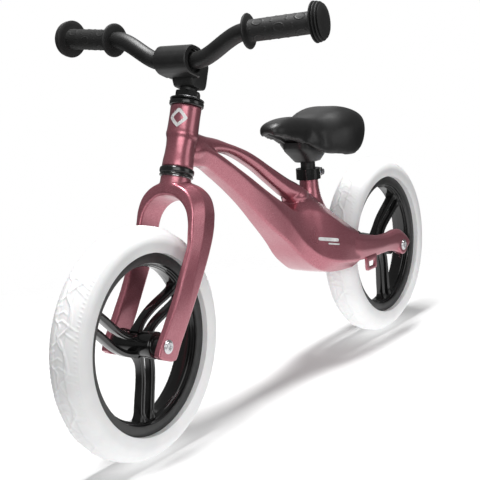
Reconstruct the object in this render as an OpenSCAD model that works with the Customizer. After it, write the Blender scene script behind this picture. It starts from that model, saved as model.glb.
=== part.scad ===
// Child's balance bike: one-piece cast frame, moulded wheels with foam tyres,
// quill stem and a saddle on a clamped post.
// +X is the direction of travel, +Y the rider's left, +Z up; the origin is on the
// floor midway between the two axles. All sizes are in millimetres.

/* [Overall] */
// Distance between the two axles
wheelbase = 640; // [600:1:780]
// Outside diameter of the tyres
tyre_od = 290; // [240:0.5:320]
// Angle of the steering axis from the floor, in degrees
head_angle = 68.8; // [64:0.1:74]
// Distance of the front axle ahead of the steering axis
fork_offset = 27; // [10:1:40]
// Height of the saddle's top above the floor with the post right down
saddle_h = 387; // [375:1:440]
// Width of the handlebar, measured over the grips
bar_w = 410; // [340:2:520]

/* [Wheels] */
// Width of the tyre
tyre_w = 53.6; // [46:0.2:60]
// Radial height of the tyre above the rim's lip
tyre_h = 32.5; // [24:0.5:42]
// Width of the flat band round the tread
tread_w = 16; // [8:1:24]
// Width of the rim
rim_w = 33; // [26:1:40]
// Radial depth of the rim, from its lip to its inner barrel
rim_depth = 17.5; // [14:0.5:22]
// Depth of the channel that the tyre sits in
rim_channel = 5.5; // [3:0.5:8]
// Outside diameter of the hub
hub_od = 34; // [28:1:44]
// Length of the hub
hub_len = 56; // [40:1:60]
// Number of spoke pairs
spoke_pairs = 3; // [3:1:5]
// Width of one spoke blade
spoke_w = 8; // [6:0.5:10]
// Distance between the two blades of a pair where they meet the rim
spoke_gap = 19; // [14:0.5:26]
// Depth of a spoke blade along the axle
spoke_depth = 11; // [8:1:20]
// How far a spoke pair swings round between the hub and the rim, in degrees
spoke_swirl = 28; // [0:1:35]
// Direction of the front wheel's first spoke pair, in degrees
front_spoke_a = 31; // [0:1:120]
// Direction of the rear wheel's first spoke pair, in degrees
rear_spoke_a = 18; // [0:1:120]

/* [Axles and bearings] */
// Diameter of the axle rods
axle_d = 8; // [6:0.5:10]
// Outside diameter of a wheel bearing
bearing_od = 22; // [19:0.2:26.4]
// Width of a wheel bearing
bearing_w = 7; // [5:0.5:9]
// Balls in one wheel bearing
bearing_balls = 7; // [5:1:8]
// Diameter of the axle screws' heads
screw_head_d = 16; // [12:0.5:18]
// Thickness of the axle screws' heads
screw_head_h = 3; // [2:0.5:5]
// Thread diameter of the axle screws
screw_d = 5; // [4:0.5:5]
// Thickness of the axle washers
washer_t = 1.4; // [1:0.1:3]

/* [Fork] */
// Outside half width of the fork at its shoulders
fork_out = 49.5; // [46:0.5:60]
// Inside half width of the fork at its shoulders
fork_in = 37.5; // [33:0.5:44]
// Outside half width of the fork at the axle
fork_tip_out = 46; // [42:0.5:52]
// Inside half width of the fork at the axle
fork_tip_in = 36; // [32:0.5:40]
// Gap between the tyre and the underside of the fork crown
crown_gap = 43.6; // [30:0.5:60]
// Thickness of the fork crown
crown_t = 23.4; // [18:0.2:30]

/* [Head and steering] */
// Outside diameter of the head tube
head_od = 40; // [36:0.5:48]
// Length of the head tube
head_len = 80.6; // [66:0.2:110]
// Height of the headset stack under the head tube
lower_stack = 12; // [11:0.5:18]
// Outside diameter of the steerer tube
steerer_od = 25.4; // [24:0.1:30.5]
// Outside diameter of the quill
quill_d = 22.2; // [20:0.1:22.2]
// Length of the quill below the stem
quill_len = 106; // [90:1:116]
// Travel of the stem up out of the fork
stem_travel = 50; // [20:1:60]

/* [Handlebar] */
// Diameter of the handlebar tube
bar_d = 22; // [19:0.2:24]
// Wall of the handlebar tube
bar_wall = 1.8; // [1.2:0.1:3]
// Height of the bar's ends above its middle
bar_rise = 30; // [10:1:60]
// Distance of the bar ahead of the steering axis
stem_reach = 27.5; // [26:0.5:50]
// Width of the stem's clamp
clamp_w = 50; // [44:1:60]
// Diameter of a grip
grip_d = 27; // [25:0.5:34]
// Length of a grip between its flanges
grip_len = 82; // [60:1:110]

/* [Saddle] */
// Length of the saddle
saddle_len = 213; // [190:1:260]
// Width of the saddle at its rear
saddle_w = 124; // [100:1:150]
// Height of the saddle from its skirt to its top
saddle_deep = 70; // [60:1:80]
// Diameter of the seat post
post_d = 22; // [18:0.2:26.4]
// Travel of the seat post
post_travel = 70; // [30:1:80]

/* [Frame] */
// Wall of the seat tube
seat_tube_wall = 3; // [2.5:0.1:5]
// Distance of the seat tube behind the middle of the bike
seat_tube_x = 112; // [90:1:130]
// Half width of the frame's upper spar
upper_half = 13; // [9:0.5:18]
// Half width of the frame's lower spar
lower_half = 19.5; // [15:0.5:24]
// Half width of the frame's rear stays
stay_half = 51.5; // [48:0.5:60]
// Half width of the space between the stays
stay_in = 37.5; // [33:0.5:42]
// Wall of the hollow casting
wall = 4; // [3:0.5:6]

/* [Clearances] */
// Radial clearance of a part that turns or slides in another
run_gap = 0.05; // [0.02:0.01:0.1]
// Clearance between parts that move past each other
free_gap = 0.5; // [0.3:0.1:1.5]

/* [Hidden] */
$fn = 72;
rose = [0.56, 0.30, 0.34];
black = [0.07, 0.07, 0.07];
grey = [0.2, 0.2, 0.21];
steel = [0.75, 0.75, 0.77];
white = [0.93, 0.93, 0.93];
eps = 0.01;

// Wheels
tyre_r = tyre_od / 2;
axle_x = wheelbase / 2;
axle_z = tyre_r;
lip_r = tyre_r - tyre_h;
barrel_r = lip_r - rim_depth;
bed_r = lip_r - rim_channel;
lip_t = 2.5;
face_w = 12.5;
hub_r = hub_od / 2;
axle_r = axle_d / 2;
bearing_r = bearing_od / 2;
race_t = 1.5;
ball_ring_r = (axle_r + bearing_r) / 2 + 0.2;
wheel_ball_r = (bearing_r - axle_r) / 2 - race_t - 0.35;
shield_t = 0.6;
screw_r = screw_d / 2;
screw_head_r = screw_head_d / 2;
washer_r = screw_head_r + 1;

// Steering axis, where "along" is measured up the axis from the point nearest the front axle
steer_x = axle_x - fork_offset * sin(head_angle);
steer_z = axle_z - fork_offset * cos(head_angle);
arch_in = tyre_r + crown_gap;
arch_out = arch_in + crown_t;
crown_seat = arch_out + 2;
head_bottom = crown_seat + lower_stack;
head_top = head_bottom + head_len;
cup_h = 7;
cup_skirt = 8;
cup_lid = 4;
steerer_r = steerer_od / 2;
head_bore_r = steerer_r + 2.3;
cup_r = steerer_r + 9.55;
nut_half = steerer_r + 2.3;
quill_r = quill_d / 2;
top_race_z = head_top + cup_h + free_gap;
race_h = 3.2;
washer_h = 1;
nut_h = 8;
steerer_top = top_race_z + race_h + washer_h + nut_h;
head_ball_r = 2.2;
head_ball_ring = steerer_r + 3.3;
head_ball_count = 18;

// Stem and bar, in steering coordinates
stem_bottom = steerer_top + 4;
bar_z = stem_bottom + 28.4;
bar_r = bar_d / 2;
block_half = 15.5;
block_rear = 16;
block_top = stem_bottom + 42;
clamp_front = 24.5;
clamp_screw_dz = 14.4;
clamp_screw_y = clamp_w / 2 - 5;
clamp_screw_r = 2.5;
expander_r = 4;
flange_in_r = 22;
flange_out_r = 25;
flange_t = 5;
cap_t = 9;
// Offsets of the inner flange from the bar's middle, and of the outer flange from the inner
grip_ahead = 9;
grip_back = 10.5;
grip_up = 9.6;
grip_y0 = bar_w / 2 - grip_len - flange_t - cap_t - 1;
grip_y1 = grip_y0 + grip_len;
bar_end_y = grip_y1 + flange_t - 2;
s_start = clamp_w / 2;
s_end = grip_y0 - flange_t - 1;
// Rise of the bar at a distance y from its middle: level in the clamp, then an S curve
// out to the grip, then straight along the grip. Each point is [ahead, across, along].
function s_curve(t) = t * t * (3 - 2 * t);
function bar_point(y) = let (w = abs(y),
        t = min(1, max(0, (w - s_start) / (s_end - s_start))),
        g = max(0, (w - s_end) / grip_len))
    [stem_reach + grip_ahead * s_curve(t) - grip_back * g, y, bar_z + bar_rise * s_curve(t) + grip_up * g];
bar_steps = 10;
bar_half_y = concat([for (i = [0 : bar_steps]) s_start + (s_end - s_start) * i / bar_steps],
    [bar_end_y]);
bar_sides = 16;

// Saddle
saddle_nose = -3;
saddle_top = saddle_h;
saddle_low = saddle_top - saddle_deep;
post_r = post_d / 2;
seat_tube_r = post_r + seat_tube_wall;
seat_tube_top = saddle_low - 17;
collar_r = seat_tube_r + 4.5;
collar_h = 16;
collar_z = seat_tube_top - collar_h + 1;
collar_gap = 3;
post_bottom = seat_tube_top - post_travel - 50;
saddle_screw_r = 2.1;
bracket_low = saddle_low - 5;
bracket_top = saddle_low + 17;

// Side outlines of the frame, [x, z], from the head to the dropouts. The front ends hang
// from the head tube and the rear ends from the rear axle, so both follow those.
head_x = steer_x - head_bottom * cos(head_angle);
head_z = steer_z + head_bottom * sin(head_angle);
hx = head_x - 213.1;
hz = head_z - 345.9;
rx = 320 - axle_x;
rz = axle_z - 145;
function blend_x(x) = (x + 345) / 555;
// Move an outline point with the head and the rear axle in proportion to its place
function place(p) = let (t = min(1, max(0, blend_x(p.x))))
    [p.x + hx * t + rx * (1 - t), p.y + hz * t + rz * (1 - t)];
function placed(pts) = [for (p = pts) place(p)];
function raise(pts, d) = [for (p = pts) [p.x, p.y + d]];
function rev(pts) = [for (i = [len(pts) - 1 : -1 : 0]) pts[i]];

lower_bottom = [[199, 356], [150, 345], [110, 317], [70, 285], [30, 251], [-10, 218], [-45, 188],
    [-75, 165], [-100, 151], [-125, 143], [-150, 139], [-168, 138]];
lower_top = [[196, 385], [165, 372], [135, 356], [98, 332], [50, 304], [0, 275], [-36, 262],
    [-62, 278], [-96, 254], [-127, 235], [-157, 218], [-170, 210]];
stay_bottom = [[-60, 184], [-90, 166], [-120, 155], [-150, 148], [-184, 145], [-235, 144],
    [-271, 143], [-308, 137], [-330, 131], [-343, 134], [-348, 145]];
stay_top = [[-60, 244], [-111, 222], [-141, 205], [-166, 194], [-205, 184], [-239, 177],
    [-274, 174], [-308, 175], [-322, 168], [-339, 159]];
upper_bottom = [[190, 361], [150, 358], [104, 356], [64, 334], [15, 304], [-33, 271], [-62, 262],
    [-90, 240]];
upper_top = [[185, 391], [165, 383], [131, 375], [85, 359], [37, 338], [-13, 311], [-62, 283],
    [-100, 258]];
// Half width of the lower body against x
lower_plan = [[199, 14], [180, 17], [150, lower_half], [50, lower_half], [10, lower_half + 2.5],
    [-50, 30], [-80, 34], [-170, 36]];
stay_plan = [[-60, 31], [-80, 40], [-105, 46], [-150, 50], [-190, stay_half + 1], [-280, stay_half],
    [-348, stay_half]];
tab_x = -204;
tab_w = 42;
tab_t = 4;
tab_low = 128;
tab_high = 150;

// A point of the rear axle and the steering axis as frames of reference
module at_front_axle() { translate([axle_x, 0, axle_z]) children(); }
module at_rear_axle() { translate([-axle_x, 0, axle_z]) children(); }
module on_steering() { translate([steer_x, 0, steer_z]) rotate([0, head_angle - 90, 0]) children(); }
// Turn a shape drawn about Z so that it lies about Y, or on its side in the XZ plane
module across() { rotate([90, 0, 0]) children(); }
module both_sides() {
    children();
    mirror([0, 1, 0]) children();
}
module side_prism(pts, half) { across() linear_extrude(2 * half, center = true) polygon(pts); }
module ring(r_out, r_in, h) {
    difference() {
        cylinder(r = r_out, h = h);
        translate([0, 0, -1]) cylinder(r = r_in, h = h + 2);
    }
}
// Plan view of both sides from [x, half width] points
module plan_prism(pts, z0, z1) {
    translate([0, 0, z0]) linear_extrude(z1 - z0)
        polygon(concat(pts, [for (p = rev(pts)) [p.x, -p.y]]));
}
// Socket-head screw pointing down from z = 0, with its head above
module socket_screw(head_r, head_h, shank_r, shank_len, key_r) {
    difference() {
        cylinder(r = head_r, h = head_h);
        translate([0, 0, head_h * 0.35]) cylinder(r = key_r, h = head_h, $fn = 6);
    }
    translate([0, 0, -shank_len]) cylinder(r = shank_r, h = shank_len);
}

// ---- wheels ----
module tyre_shape() {
    rc = lip_r + tyre_h / 3;
    rh = tyre_r - rc;
    half = tyre_w / 2;
    steps = 14;
    outer = [for (i = [0 : steps]) let (a = 118 - 236 * i / steps)
        [rc + rh * cos(a), half * sin(a)]];
    crown = [for (p = outer) if (abs(p.y) > tread_w / 2) p];
    n = len(crown) / 2;
    top = [for (p = crown) if (p.y > 0) p];
    low = [for (p = crown) if (p.y < 0) p];
    bed = rim_w / 2 - lip_t;
    across() rotate_extrude() polygon(concat(
        [[bed_r, bed], [lip_r, bed], [lip_r, rim_w / 2 + 2]],
        top,
        [[tyre_r, tread_w / 2], [tyre_r, -tread_w / 2]],
        low,
        [[lip_r, -rim_w / 2 - 2], [lip_r, -bed], [bed_r, -bed]]));
}
// One edge of a spoke blade: the pair's centre line sweeps round, and each blade leaves
// the hub along its tangent and closes in on its twin towards the rim
function spoke_edge(side, shift) = [for (i = [0 : 6])
    let (t = i / 6, r = hub_r - 1 + (barrel_r + 2 - hub_r) * t,
         off = side * ((hub_r - spoke_w / 2 - 2.5) * (1 - t) + spoke_gap / 2 * t) + shift,
         a = asin(off / r) - spoke_swirl * (1 - t) * (1 - t))
    [r * cos(a), r * sin(a)]];
module spoke_blade(side) {
    across() linear_extrude(spoke_depth, center = true) polygon(concat(
        spoke_edge(side, spoke_w / 2), rev(spoke_edge(side, -spoke_w / 2))));
}
module rim_shape(first) {
    half = rim_w / 2;
    face_r = lip_r - face_w;
    difference() {
        union() {
            across() rotate_extrude() polygon([[face_r, half], [lip_r, half], [lip_r, half - lip_t],
                [bed_r, half - lip_t], [bed_r, lip_t - half], [lip_r, lip_t - half], [lip_r, -half],
                [face_r, -half], [face_r - 2, 4 - half], [barrel_r, -spoke_depth / 2 - 2],
                [barrel_r, spoke_depth / 2 + 2], [face_r - 2, half - 4]]);
            across() cylinder(r = hub_r, h = hub_len, center = true);
            for (i = [0 : spoke_pairs - 1]) rotate([0, -first - i * 360 / spoke_pairs, 0]) {
                spoke_blade(1);
                spoke_blade(-1);
            }
        }
        across() cylinder(r = axle_r + 4, h = hub_len + 2, center = true);
        both_sides() translate([0, hub_len / 2 - bearing_w - shield_t, 0]) across() mirror([0, 0, 1])
            cylinder(r = bearing_r, h = bearing_w + 2);
    }
}
// A pair of rings round the axle, one at each end of the hub
module end_rings(r_out, r_in, y0, w) {
    both_sides() translate([0, y0 + w, 0]) across() ring(r_out, r_in, w);
}
bearing_y = hub_len / 2 - bearing_w - shield_t;
module outer_races() { end_rings(bearing_r, bearing_r - race_t, bearing_y, bearing_w); }
module inner_races() { end_rings(axle_r + run_gap + race_t, axle_r + run_gap, bearing_y, bearing_w); }
module shields() {
    end_rings(bearing_r, axle_r + run_gap + race_t + free_gap, hub_len / 2 - shield_t, shield_t);
}
module wheel_balls() {
    both_sides() for (i = [0 : bearing_balls - 1]) rotate([0, i * 360 / bearing_balls, 0])
        translate([ball_ring_r, bearing_y + bearing_w / 2, 0]) sphere(r = wheel_ball_r);
}
module axle_rod(half) {
    difference() {
        across() cylinder(r = axle_r, h = 2 * half, center = true);
        both_sides() translate([0, half + 1, 0]) across() cylinder(r = screw_r + run_gap, h = 19);
    }
}
module axle_screws(half) {
    both_sides() translate([0, half + washer_t, 0]) rotate([-90, 0, 0])
        socket_screw(screw_head_r, screw_head_h, screw_r, 14, 3);
}
module axle_washers(half) { end_rings(washer_r, screw_r + run_gap, half, washer_t); }
// A spacer's neck runs in through the shield's bore to the inner race
module axle_spacers(inner) {
    seat_y = hub_len / 2 - shield_t;
    wide_y = hub_len / 2 + free_gap;
    end_rings(axle_r + run_gap + race_t, axle_r + run_gap, seat_y, inner - seat_y);
    end_rings(axle_r + 4, axle_r + run_gap, wide_y, inner - wide_y);
}
module axle_sleeve() {
    translate([0, bearing_y, 0]) across() ring(axle_r + 2, axle_r + run_gap, 2 * bearing_y);
}

module front_tyre() { color(white) at_front_axle() tyre_shape(); }
module front_rim() { color(black) at_front_axle() rim_shape(front_spoke_a); }
module front_outer_races() { color(steel) at_front_axle() outer_races(); }
module front_inner_races() { color(steel) at_front_axle() inner_races(); }
module front_balls() { color(steel) at_front_axle() wheel_balls(); }
module front_shields() { color(black) at_front_axle() shields(); }
module front_axle() { color(steel) at_front_axle() axle_rod(fork_tip_out); }
module front_axle_screws() { color(steel) at_front_axle() axle_screws(fork_tip_out); }
module front_axle_washers() { color(steel) at_front_axle() axle_washers(fork_tip_out); }
module front_axle_spacers() { color(black) at_front_axle() axle_spacers(fork_tip_in); }
module front_axle_sleeve() { color(steel) at_front_axle() axle_sleeve(); }

module rear_tyre() { color(white) at_rear_axle() tyre_shape(); }
module rear_rim() { color(black) at_rear_axle() rim_shape(rear_spoke_a); }
module rear_outer_races() { color(steel) at_rear_axle() outer_races(); }
module rear_inner_races() { color(steel) at_rear_axle() inner_races(); }
module rear_balls() { color(steel) at_rear_axle() wheel_balls(); }
module rear_shields() { color(black) at_rear_axle() shields(); }
module rear_axle() { color(steel) at_rear_axle() axle_rod(stay_half); }
module rear_axle_screws() { color(steel) at_rear_axle() axle_screws(stay_half); }
module rear_axle_washers() { color(steel) at_rear_axle() axle_washers(stay_half); }
module rear_axle_spacers() { color(black) at_rear_axle() axle_spacers(stay_in); }
module rear_axle_sleeve() { color(steel) at_rear_axle() axle_sleeve(); }

// ---- fork, drawn in steering coordinates: x ahead, y across, z along the axis ----
// Front view of the fork blades, from the axle up over the arch
function arch(half, top, knee) = [[half, top - 52], [half * 0.97, top - 34], [half * 0.84, top - 18],
    [half * 0.62, top - 8], [half * 0.3, top - 1.5], [0, top]];
module fork_front_view() {
    out_pts = concat([[fork_tip_out, -30], [fork_tip_out, 20]], arch(fork_out, arch_out));
    in_pts = concat([[fork_tip_in, -40], [fork_tip_in, 20]], arch(fork_in, arch_in));
    difference() {
        polygon(concat(out_pts, [for (p = rev(out_pts)) [-p.x, p.y]]));
        polygon(concat(in_pts, [for (p = rev(in_pts)) [-p.x, p.y]]));
    }
}
// Side view of a blade, [ahead, along]; the tip is a round eye about the axle
module fork_side_view() {
    eye_r = 16;
    f = fork_offset;
    h = arch_out;
    difference() {
        union() {
            translate([f, 0]) circle(r = eye_r);
            polygon([[f + eye_r - 1, 6], [f + 7, h * 0.1], [f - 5, h * 0.28], [f - 13, h * 0.41],
                [f - 18, h * 0.59], [f - 14, h * 0.78], [f - 12, h * 0.9], [f - 12, h + 1],
                [-21, h + 1], [-25, h * 0.9], [-28, h * 0.78], [-27, h * 0.59], [-19, h * 0.41],
                [-12, h * 0.28], [-2, h * 0.1], [f - eye_r + 1, -6]]);
        }
        translate([f, 0]) circle(r = axle_r + run_gap);
    }
}
module fork() {
    color(rose) on_steering() difference() {
        union() {
            intersection() {
                rotate([90, 0, 90]) linear_extrude(140, center = true) fork_front_view();
                across() linear_extrude(140, center = true) fork_side_view();
            }
            translate([0, 0, arch_in + 4]) cylinder(r = head_od / 2 - 0.5, h = crown_seat - arch_in - 4);
        }
        translate([0, 0, arch_in - 2]) cylinder(r = steerer_r + run_gap, h = crown_t + 10);
    }
}
module steerer_tube() {
    color(grey) on_steering() translate([0, 0, arch_in + 3])
        ring(steerer_r, quill_r + run_gap, steerer_top - arch_in - 3);
}
module crown_race() {
    color(steel) on_steering() translate([0, 0, crown_seat]) ring(head_ball_ring + 2, steerer_r + run_gap, 2.5);
}
module headset_lower_balls() {
    color(steel) on_steering() translate([0, 0, crown_seat + 2.5 + head_ball_r]) ball_ring();
}
module headset_upper_balls() {
    color(steel) on_steering() translate([0, 0, top_race_z - head_ball_r - 0.2]) ball_ring();
}
module ball_ring() {
    for (i = [0 : head_ball_count - 1]) rotate([0, 0, i * 360 / head_ball_count])
        translate([head_ball_ring, 0, 0]) sphere(r = head_ball_r);
}
// A cup open away from the head tube, with a skirt pressed into its bore
module cup(depth) {
    difference() {
        union() {
            cylinder(r = cup_r, h = depth);
            translate([0, 0, -cup_skirt]) cylinder(r = head_bore_r, h = cup_skirt + 1);
        }
        translate([0, 0, -cup_skirt - 1]) cylinder(r = steerer_r + 1, h = depth + cup_skirt + 2);
        translate([0, 0, depth - 2 * head_ball_r - free_gap]) cylinder(r = cup_r - 2.5, h = depth);
    }
}
module headset_upper_cup() { color(black) on_steering() translate([0, 0, head_top]) cup(cup_h); }
module headset_lower_cup() {
    color(black) on_steering() translate([0, 0, head_bottom]) mirror([0, 0, 1])
        cup(lower_stack - 2.5);
}
module headset_top_race() {
    color(black) on_steering() translate([0, 0, top_race_z]) ring(cup_r, steerer_r + run_gap, race_h);
}
module lock_washer() {
    color(steel) on_steering() translate([0, 0, top_race_z + race_h])
        ring(nut_half + 1.5, steerer_r + run_gap, washer_h);
}
module lock_nut() {
    color(black) on_steering() translate([0, 0, top_race_z + race_h + washer_h]) difference() {
        cylinder(r = nut_half / cos(30), h = nut_h - free_gap, $fn = 6);
        translate([0, 0, -1]) cylinder(r = steerer_r + run_gap, h = nut_h + 2);
    }
}

// ---- stem, bar and grips, in steering coordinates ----
// Side outline of the bar clamp, [ahead, along] about the bar's centre
clamp_outline = [[-12, -19], [8, -19.5], [17, -15.5], [clamp_front - 1, -8], [clamp_front, -1],
    [clamp_front - 2, 8], [15, 18], [-3, 18.5], [-12, 16]];
module clamp_half(front) {
    x0 = front ? 0.4 : -30;
    x1 = front ? 40 : -0.4;
    intersection() {
        translate([stem_reach, 0, bar_z]) side_prism(clamp_outline, clamp_w / 2);
        translate([stem_reach + x0, -100, bar_z - 60]) cube([x1 - x0, 200, 120]);
    }
}
module clamp_screw_places() {
    for (y = [-1, 1], z = [-1, 1])
        translate([stem_reach - 12, y * clamp_screw_y, bar_z + z * clamp_screw_dz])
            rotate([0, -90, 0]) children();
}
module stem() {
    color(black) on_steering() difference() {
        union() {
            clamp_half(false);
            side_prism([[10, stem_bottom], [stem_reach - 11, bar_z - 19], [stem_reach - 11, block_top - 2],
                [6, block_top + 1], [-block_rear + 5, block_top - 2], [-block_rear, block_top - 9],
                [-block_rear, stem_bottom + 7], [-block_rear + 5, stem_bottom]], block_half);
            translate([0, 0, stem_bottom - quill_len]) cylinder(r = quill_r, h = quill_len + 2);
        }
        bar_hole();
        clamp_screw_places() translate([0, 0, -30]) cylinder(r = clamp_screw_r + run_gap, h = 40);
        translate([0, 0, stem_bottom - quill_len - 1]) cylinder(r = expander_r + 0.5, h = 200);
        translate([0, 0, block_top - 8]) cylinder(r = 7.5, h = 20);
        wedge_side(1);
    }
}
// Half space beyond the slanted joint between the quill and its wedge
module wedge_side(up) {
    translate([0, 0, stem_bottom - quill_len]) rotate([0, 35, 0]) translate([-40, -40, -60])
        cube([80, 80, 60]);
}
module bar_hole() {
    translate([stem_reach, 0, bar_z]) across() cylinder(r = bar_r + run_gap, h = clamp_w + 2, center = true);
}
module stem_clamp_cap() {
    color(black) on_steering() difference() {
        clamp_half(true);
        bar_hole();
        clamp_screw_places() translate([0, 0, -30]) cylinder(r = clamp_screw_r + run_gap, h = 40);
    }
}
module stem_clamp_screws() {
    color(steel) on_steering() clamp_screw_places() socket_screw(4, 3.5, clamp_screw_r, 20, 2);
}
module expander_bolt() {
    color(steel) on_steering() translate([0, 0, block_top - 8])
        socket_screw(6.5, 6, expander_r, block_top - 8 - stem_bottom + quill_len + 16, 3);
}
module expander_wedge() {
    color(steel) on_steering() intersection() {
        translate([0, 0, stem_bottom - quill_len - 22])
            ring(quill_r, expander_r + run_gap, 36);
        translate([0, 0, -0.4]) wedge_side(1);
    }
}
function unit(v) = v / norm(v);
// Ring of points square to the bar at the i-th of its centre points
function bar_ring(pts, i, r) = let (n = len(pts) - 1,
        dir = unit(pts[min(i + 1, n)] - pts[max(i - 1, 0)]),
        u = unit(cross(dir, [1, 0, 0])), v = cross(dir, u))
    [for (k = [0 : bar_sides - 1]) let (a = k * 360 / bar_sides) pts[i] + r * (cos(a) * u + sin(a) * v)];
// The bar as one solid rod, swept along its centre line
module bar_rod(r, extra) {
    ys = concat([for (i = [len(bar_half_y) - 1 : -1 : 0]) -bar_half_y[i]], bar_half_y);
    pts = [for (y = ys) bar_point(abs(y) > grip_y1 ? y + sign(y) * extra : y)];
    n = len(pts);
    m = bar_sides;
    polyhedron([for (i = [0 : n - 1]) each bar_ring(pts, i, r)], concat(
        [[for (k = [0 : m - 1]) k]],
        [for (i = [0 : n - 2], k = [0 : m - 1]) let (j = (k + 1) % m)
            each [[i * m + k, (i + 1) * m + k, (i + 1) * m + j], [i * m + k, (i + 1) * m + j, i * m + j]]],
        [[for (k = [m - 1 : -1 : 0]) (n - 1) * m + k]]));
}
module handlebar() {
    color(black) on_steering() difference() {
        bar_rod(bar_r, 0);
        bar_rod(bar_r - bar_wall, 2);
    }
}
grip_a = bar_point(grip_y0);
grip_b = bar_point(grip_y1);
grip_run = norm(grip_b - grip_a);
// Put a shape drawn up Z on the grip's axis, a distance out from the inner flange
module on_grip(out) {
    d = (grip_b - grip_a) / grip_run;
    translate(grip_a + d * out) rotate([0, acos(d.z), atan2(d.y, d.x)]) children();
}
module grip_shape() {
    on_grip(-flange_t) difference() {
        union() {
            cylinder(r = flange_in_r, h = flange_t);
            translate([0, 0, flange_t - 1]) cylinder(r = grip_d / 2, h = grip_run + 2);
            translate([0, 0, flange_t + grip_run]) cylinder(r = flange_out_r, h = flange_t);
        }
        translate([0, 0, -1]) cylinder(r = bar_r + run_gap, h = grip_run + 3 * flange_t);
    }
}
module grip_cap_shape() {
    on_grip(grip_run + flange_t + eps) {
        cylinder(r = flange_out_r - 2, h = cap_t / 2);
        translate([0, 0, cap_t / 2 - eps]) cylinder(r = flange_in_r - 2, h = cap_t / 2);
    }
}
module left_grip() { color(black) on_steering() grip_shape(); }
module right_grip() { color(black) on_steering() mirror([0, 1, 0]) grip_shape(); }
module left_grip_cap() { color(black) on_steering() grip_cap_shape(); }
module right_grip_cap() { color(black) on_steering() mirror([0, 1, 0]) grip_cap_shape(); }

// ---- saddle and post ----
// Plan, side and front outlines as shares of the saddle's own length, width and depth
saddle_plan = [[0, 0.1], [-0.03, 0.22], [-0.12, 0.34], [-0.32, 0.45], [-0.53, 0.74], [-0.69, 0.96],
    [-0.8, 1], [-0.91, 0.88], [-0.98, 0.58], [-1, 0.2]];
saddle_side = [[0, 0.58], [-0.02, 0.76], [-0.09, 0.9], [-0.23, 0.96], [-0.44, 0.83], [-0.6, 0.91],
    [-0.74, 1], [-0.88, 0.99], [-0.96, 0.86], [-1, 0.62], [-0.97, 0.36], [-0.88, 0.05],
    [-0.74, 0], [-0.62, 0.02], [-0.38, 0.36], [-0.18, 0.52]];
saddle_front = [[1, 0], [1, 0.5], [0.93, 0.68], [0.78, 0.84], [0.5, 0.95], [0.2, 1]];
module saddle_block(inset) {
    mid = saddle_nose - saddle_len / 2;
    l = saddle_len - 2 * inset;
    half = saddle_w / 2 - inset;
    intersection() {
        plan_prism([for (p = saddle_plan) [mid + l / 2 + p.x * l, p.y * half]],
            saddle_low - 20, saddle_top + 20);
        side_prism([for (p = saddle_side) [mid + l / 2 + p.x * l,
            saddle_low + p.y * saddle_deep - inset * 1.6]], saddle_w);
        translate([mid, 0, saddle_low - inset * 1.6]) rotate([90, 0, 90])
            linear_extrude(saddle_len + 20, center = true) polygon(concat(
                [for (p = saddle_front) [p.x * half, p.y * saddle_deep]],
                [for (p = rev(saddle_front)) [-p.x * half, p.y * saddle_deep]]));
    }
}
module saddle_cover() {
    color(black) difference() {
        saddle_block(0);
        saddle_block(6);
    }
}
module saddle_base() {
    color(black) difference() {
        intersection() {
            saddle_block(6);
            translate([-400, -200, saddle_low]) cube([800, 400, 200]);
        }
        saddle_hollow();
        bracket_screw_places() translate([0, 0, -15]) cylinder(r = saddle_screw_r + run_gap, h = 12);
    }
}
// Space inside the base that the bracket fills
module saddle_hollow() {
    translate([-seat_tube_x - 40 - free_gap, -24 - free_gap, saddle_low - 20])
        cube([80 + 2 * free_gap, 48 + 2 * free_gap, bracket_top - saddle_low + 20]);
}
module bracket_screw_places() {
    for (dx = [-28, 28], dy = [-14, 14]) translate([-seat_tube_x + dx, dy, bracket_top - 6])
        rotate([180, 0, 0]) children();
}
module saddle_bracket() {
    color(black) difference() {
        union() {
            side_prism([for (p = [[-40, bracket_top], [40, bracket_top], [40, bracket_top - 6],
                [18, bracket_low], [-18, bracket_low], [-40, bracket_top - 6]])
                [p.x - seat_tube_x, p.y]], 24);
        }
        translate([-seat_tube_x, 0, bracket_low - 1]) cylinder(r = post_r + run_gap, h = 20);
        bracket_screw_places() translate([0, 0, -7]) cylinder(r = saddle_screw_r + run_gap, h = 10);
        bracket_screw_places() cylinder(r = 4.2, h = 30);
    }
}
module saddle_screws() {
    color(steel) bracket_screw_places() socket_screw(3.8, 2.5, saddle_screw_r, 14, 1.6);
}
module seat_post() {
    color(black) translate([-seat_tube_x, 0, post_bottom])
        ring(post_r, post_r - 2, bracket_low + 19 - post_bottom);
}
module seat_clamp_collar() {
    color(black) translate([-seat_tube_x, 0, collar_z]) difference() {
        union() {
            cylinder(r = collar_r, h = collar_h);
            translate([-collar_r - 8, -9, 2]) cube([12, 18, collar_h - 4]);
        }
        translate([0, 0, -1]) cylinder(r = seat_tube_r + run_gap, h = collar_h);
        translate([0, 0, -1]) cylinder(r = post_r + free_gap, h = collar_h + 2);
        translate([-collar_r - 20, -collar_gap / 2, -1]) cube([collar_r + 10, collar_gap, collar_h + 2]);
        translate([-collar_r - 3.5, 0, collar_h / 2]) across()
            cylinder(r = screw_r + run_gap, h = 40, center = true);
    }
}
module seat_clamp_bolt() {
    color(steel) translate([-seat_tube_x - collar_r - 3.5, 9, collar_z + collar_h / 2])
        rotate([-90, 0, 0]) socket_screw(4.5, 4, screw_r, 23, 2.2);
}
module seat_clamp_nut() {
    color(steel) translate([-seat_tube_x - collar_r - 3.5, -9, collar_z + collar_h / 2]) across()
        difference() {
            cylinder(r = 4.6, h = 4, $fn = 6);
            translate([0, 0, -1]) cylinder(r = screw_r + run_gap, h = 6);
        }
}

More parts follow.
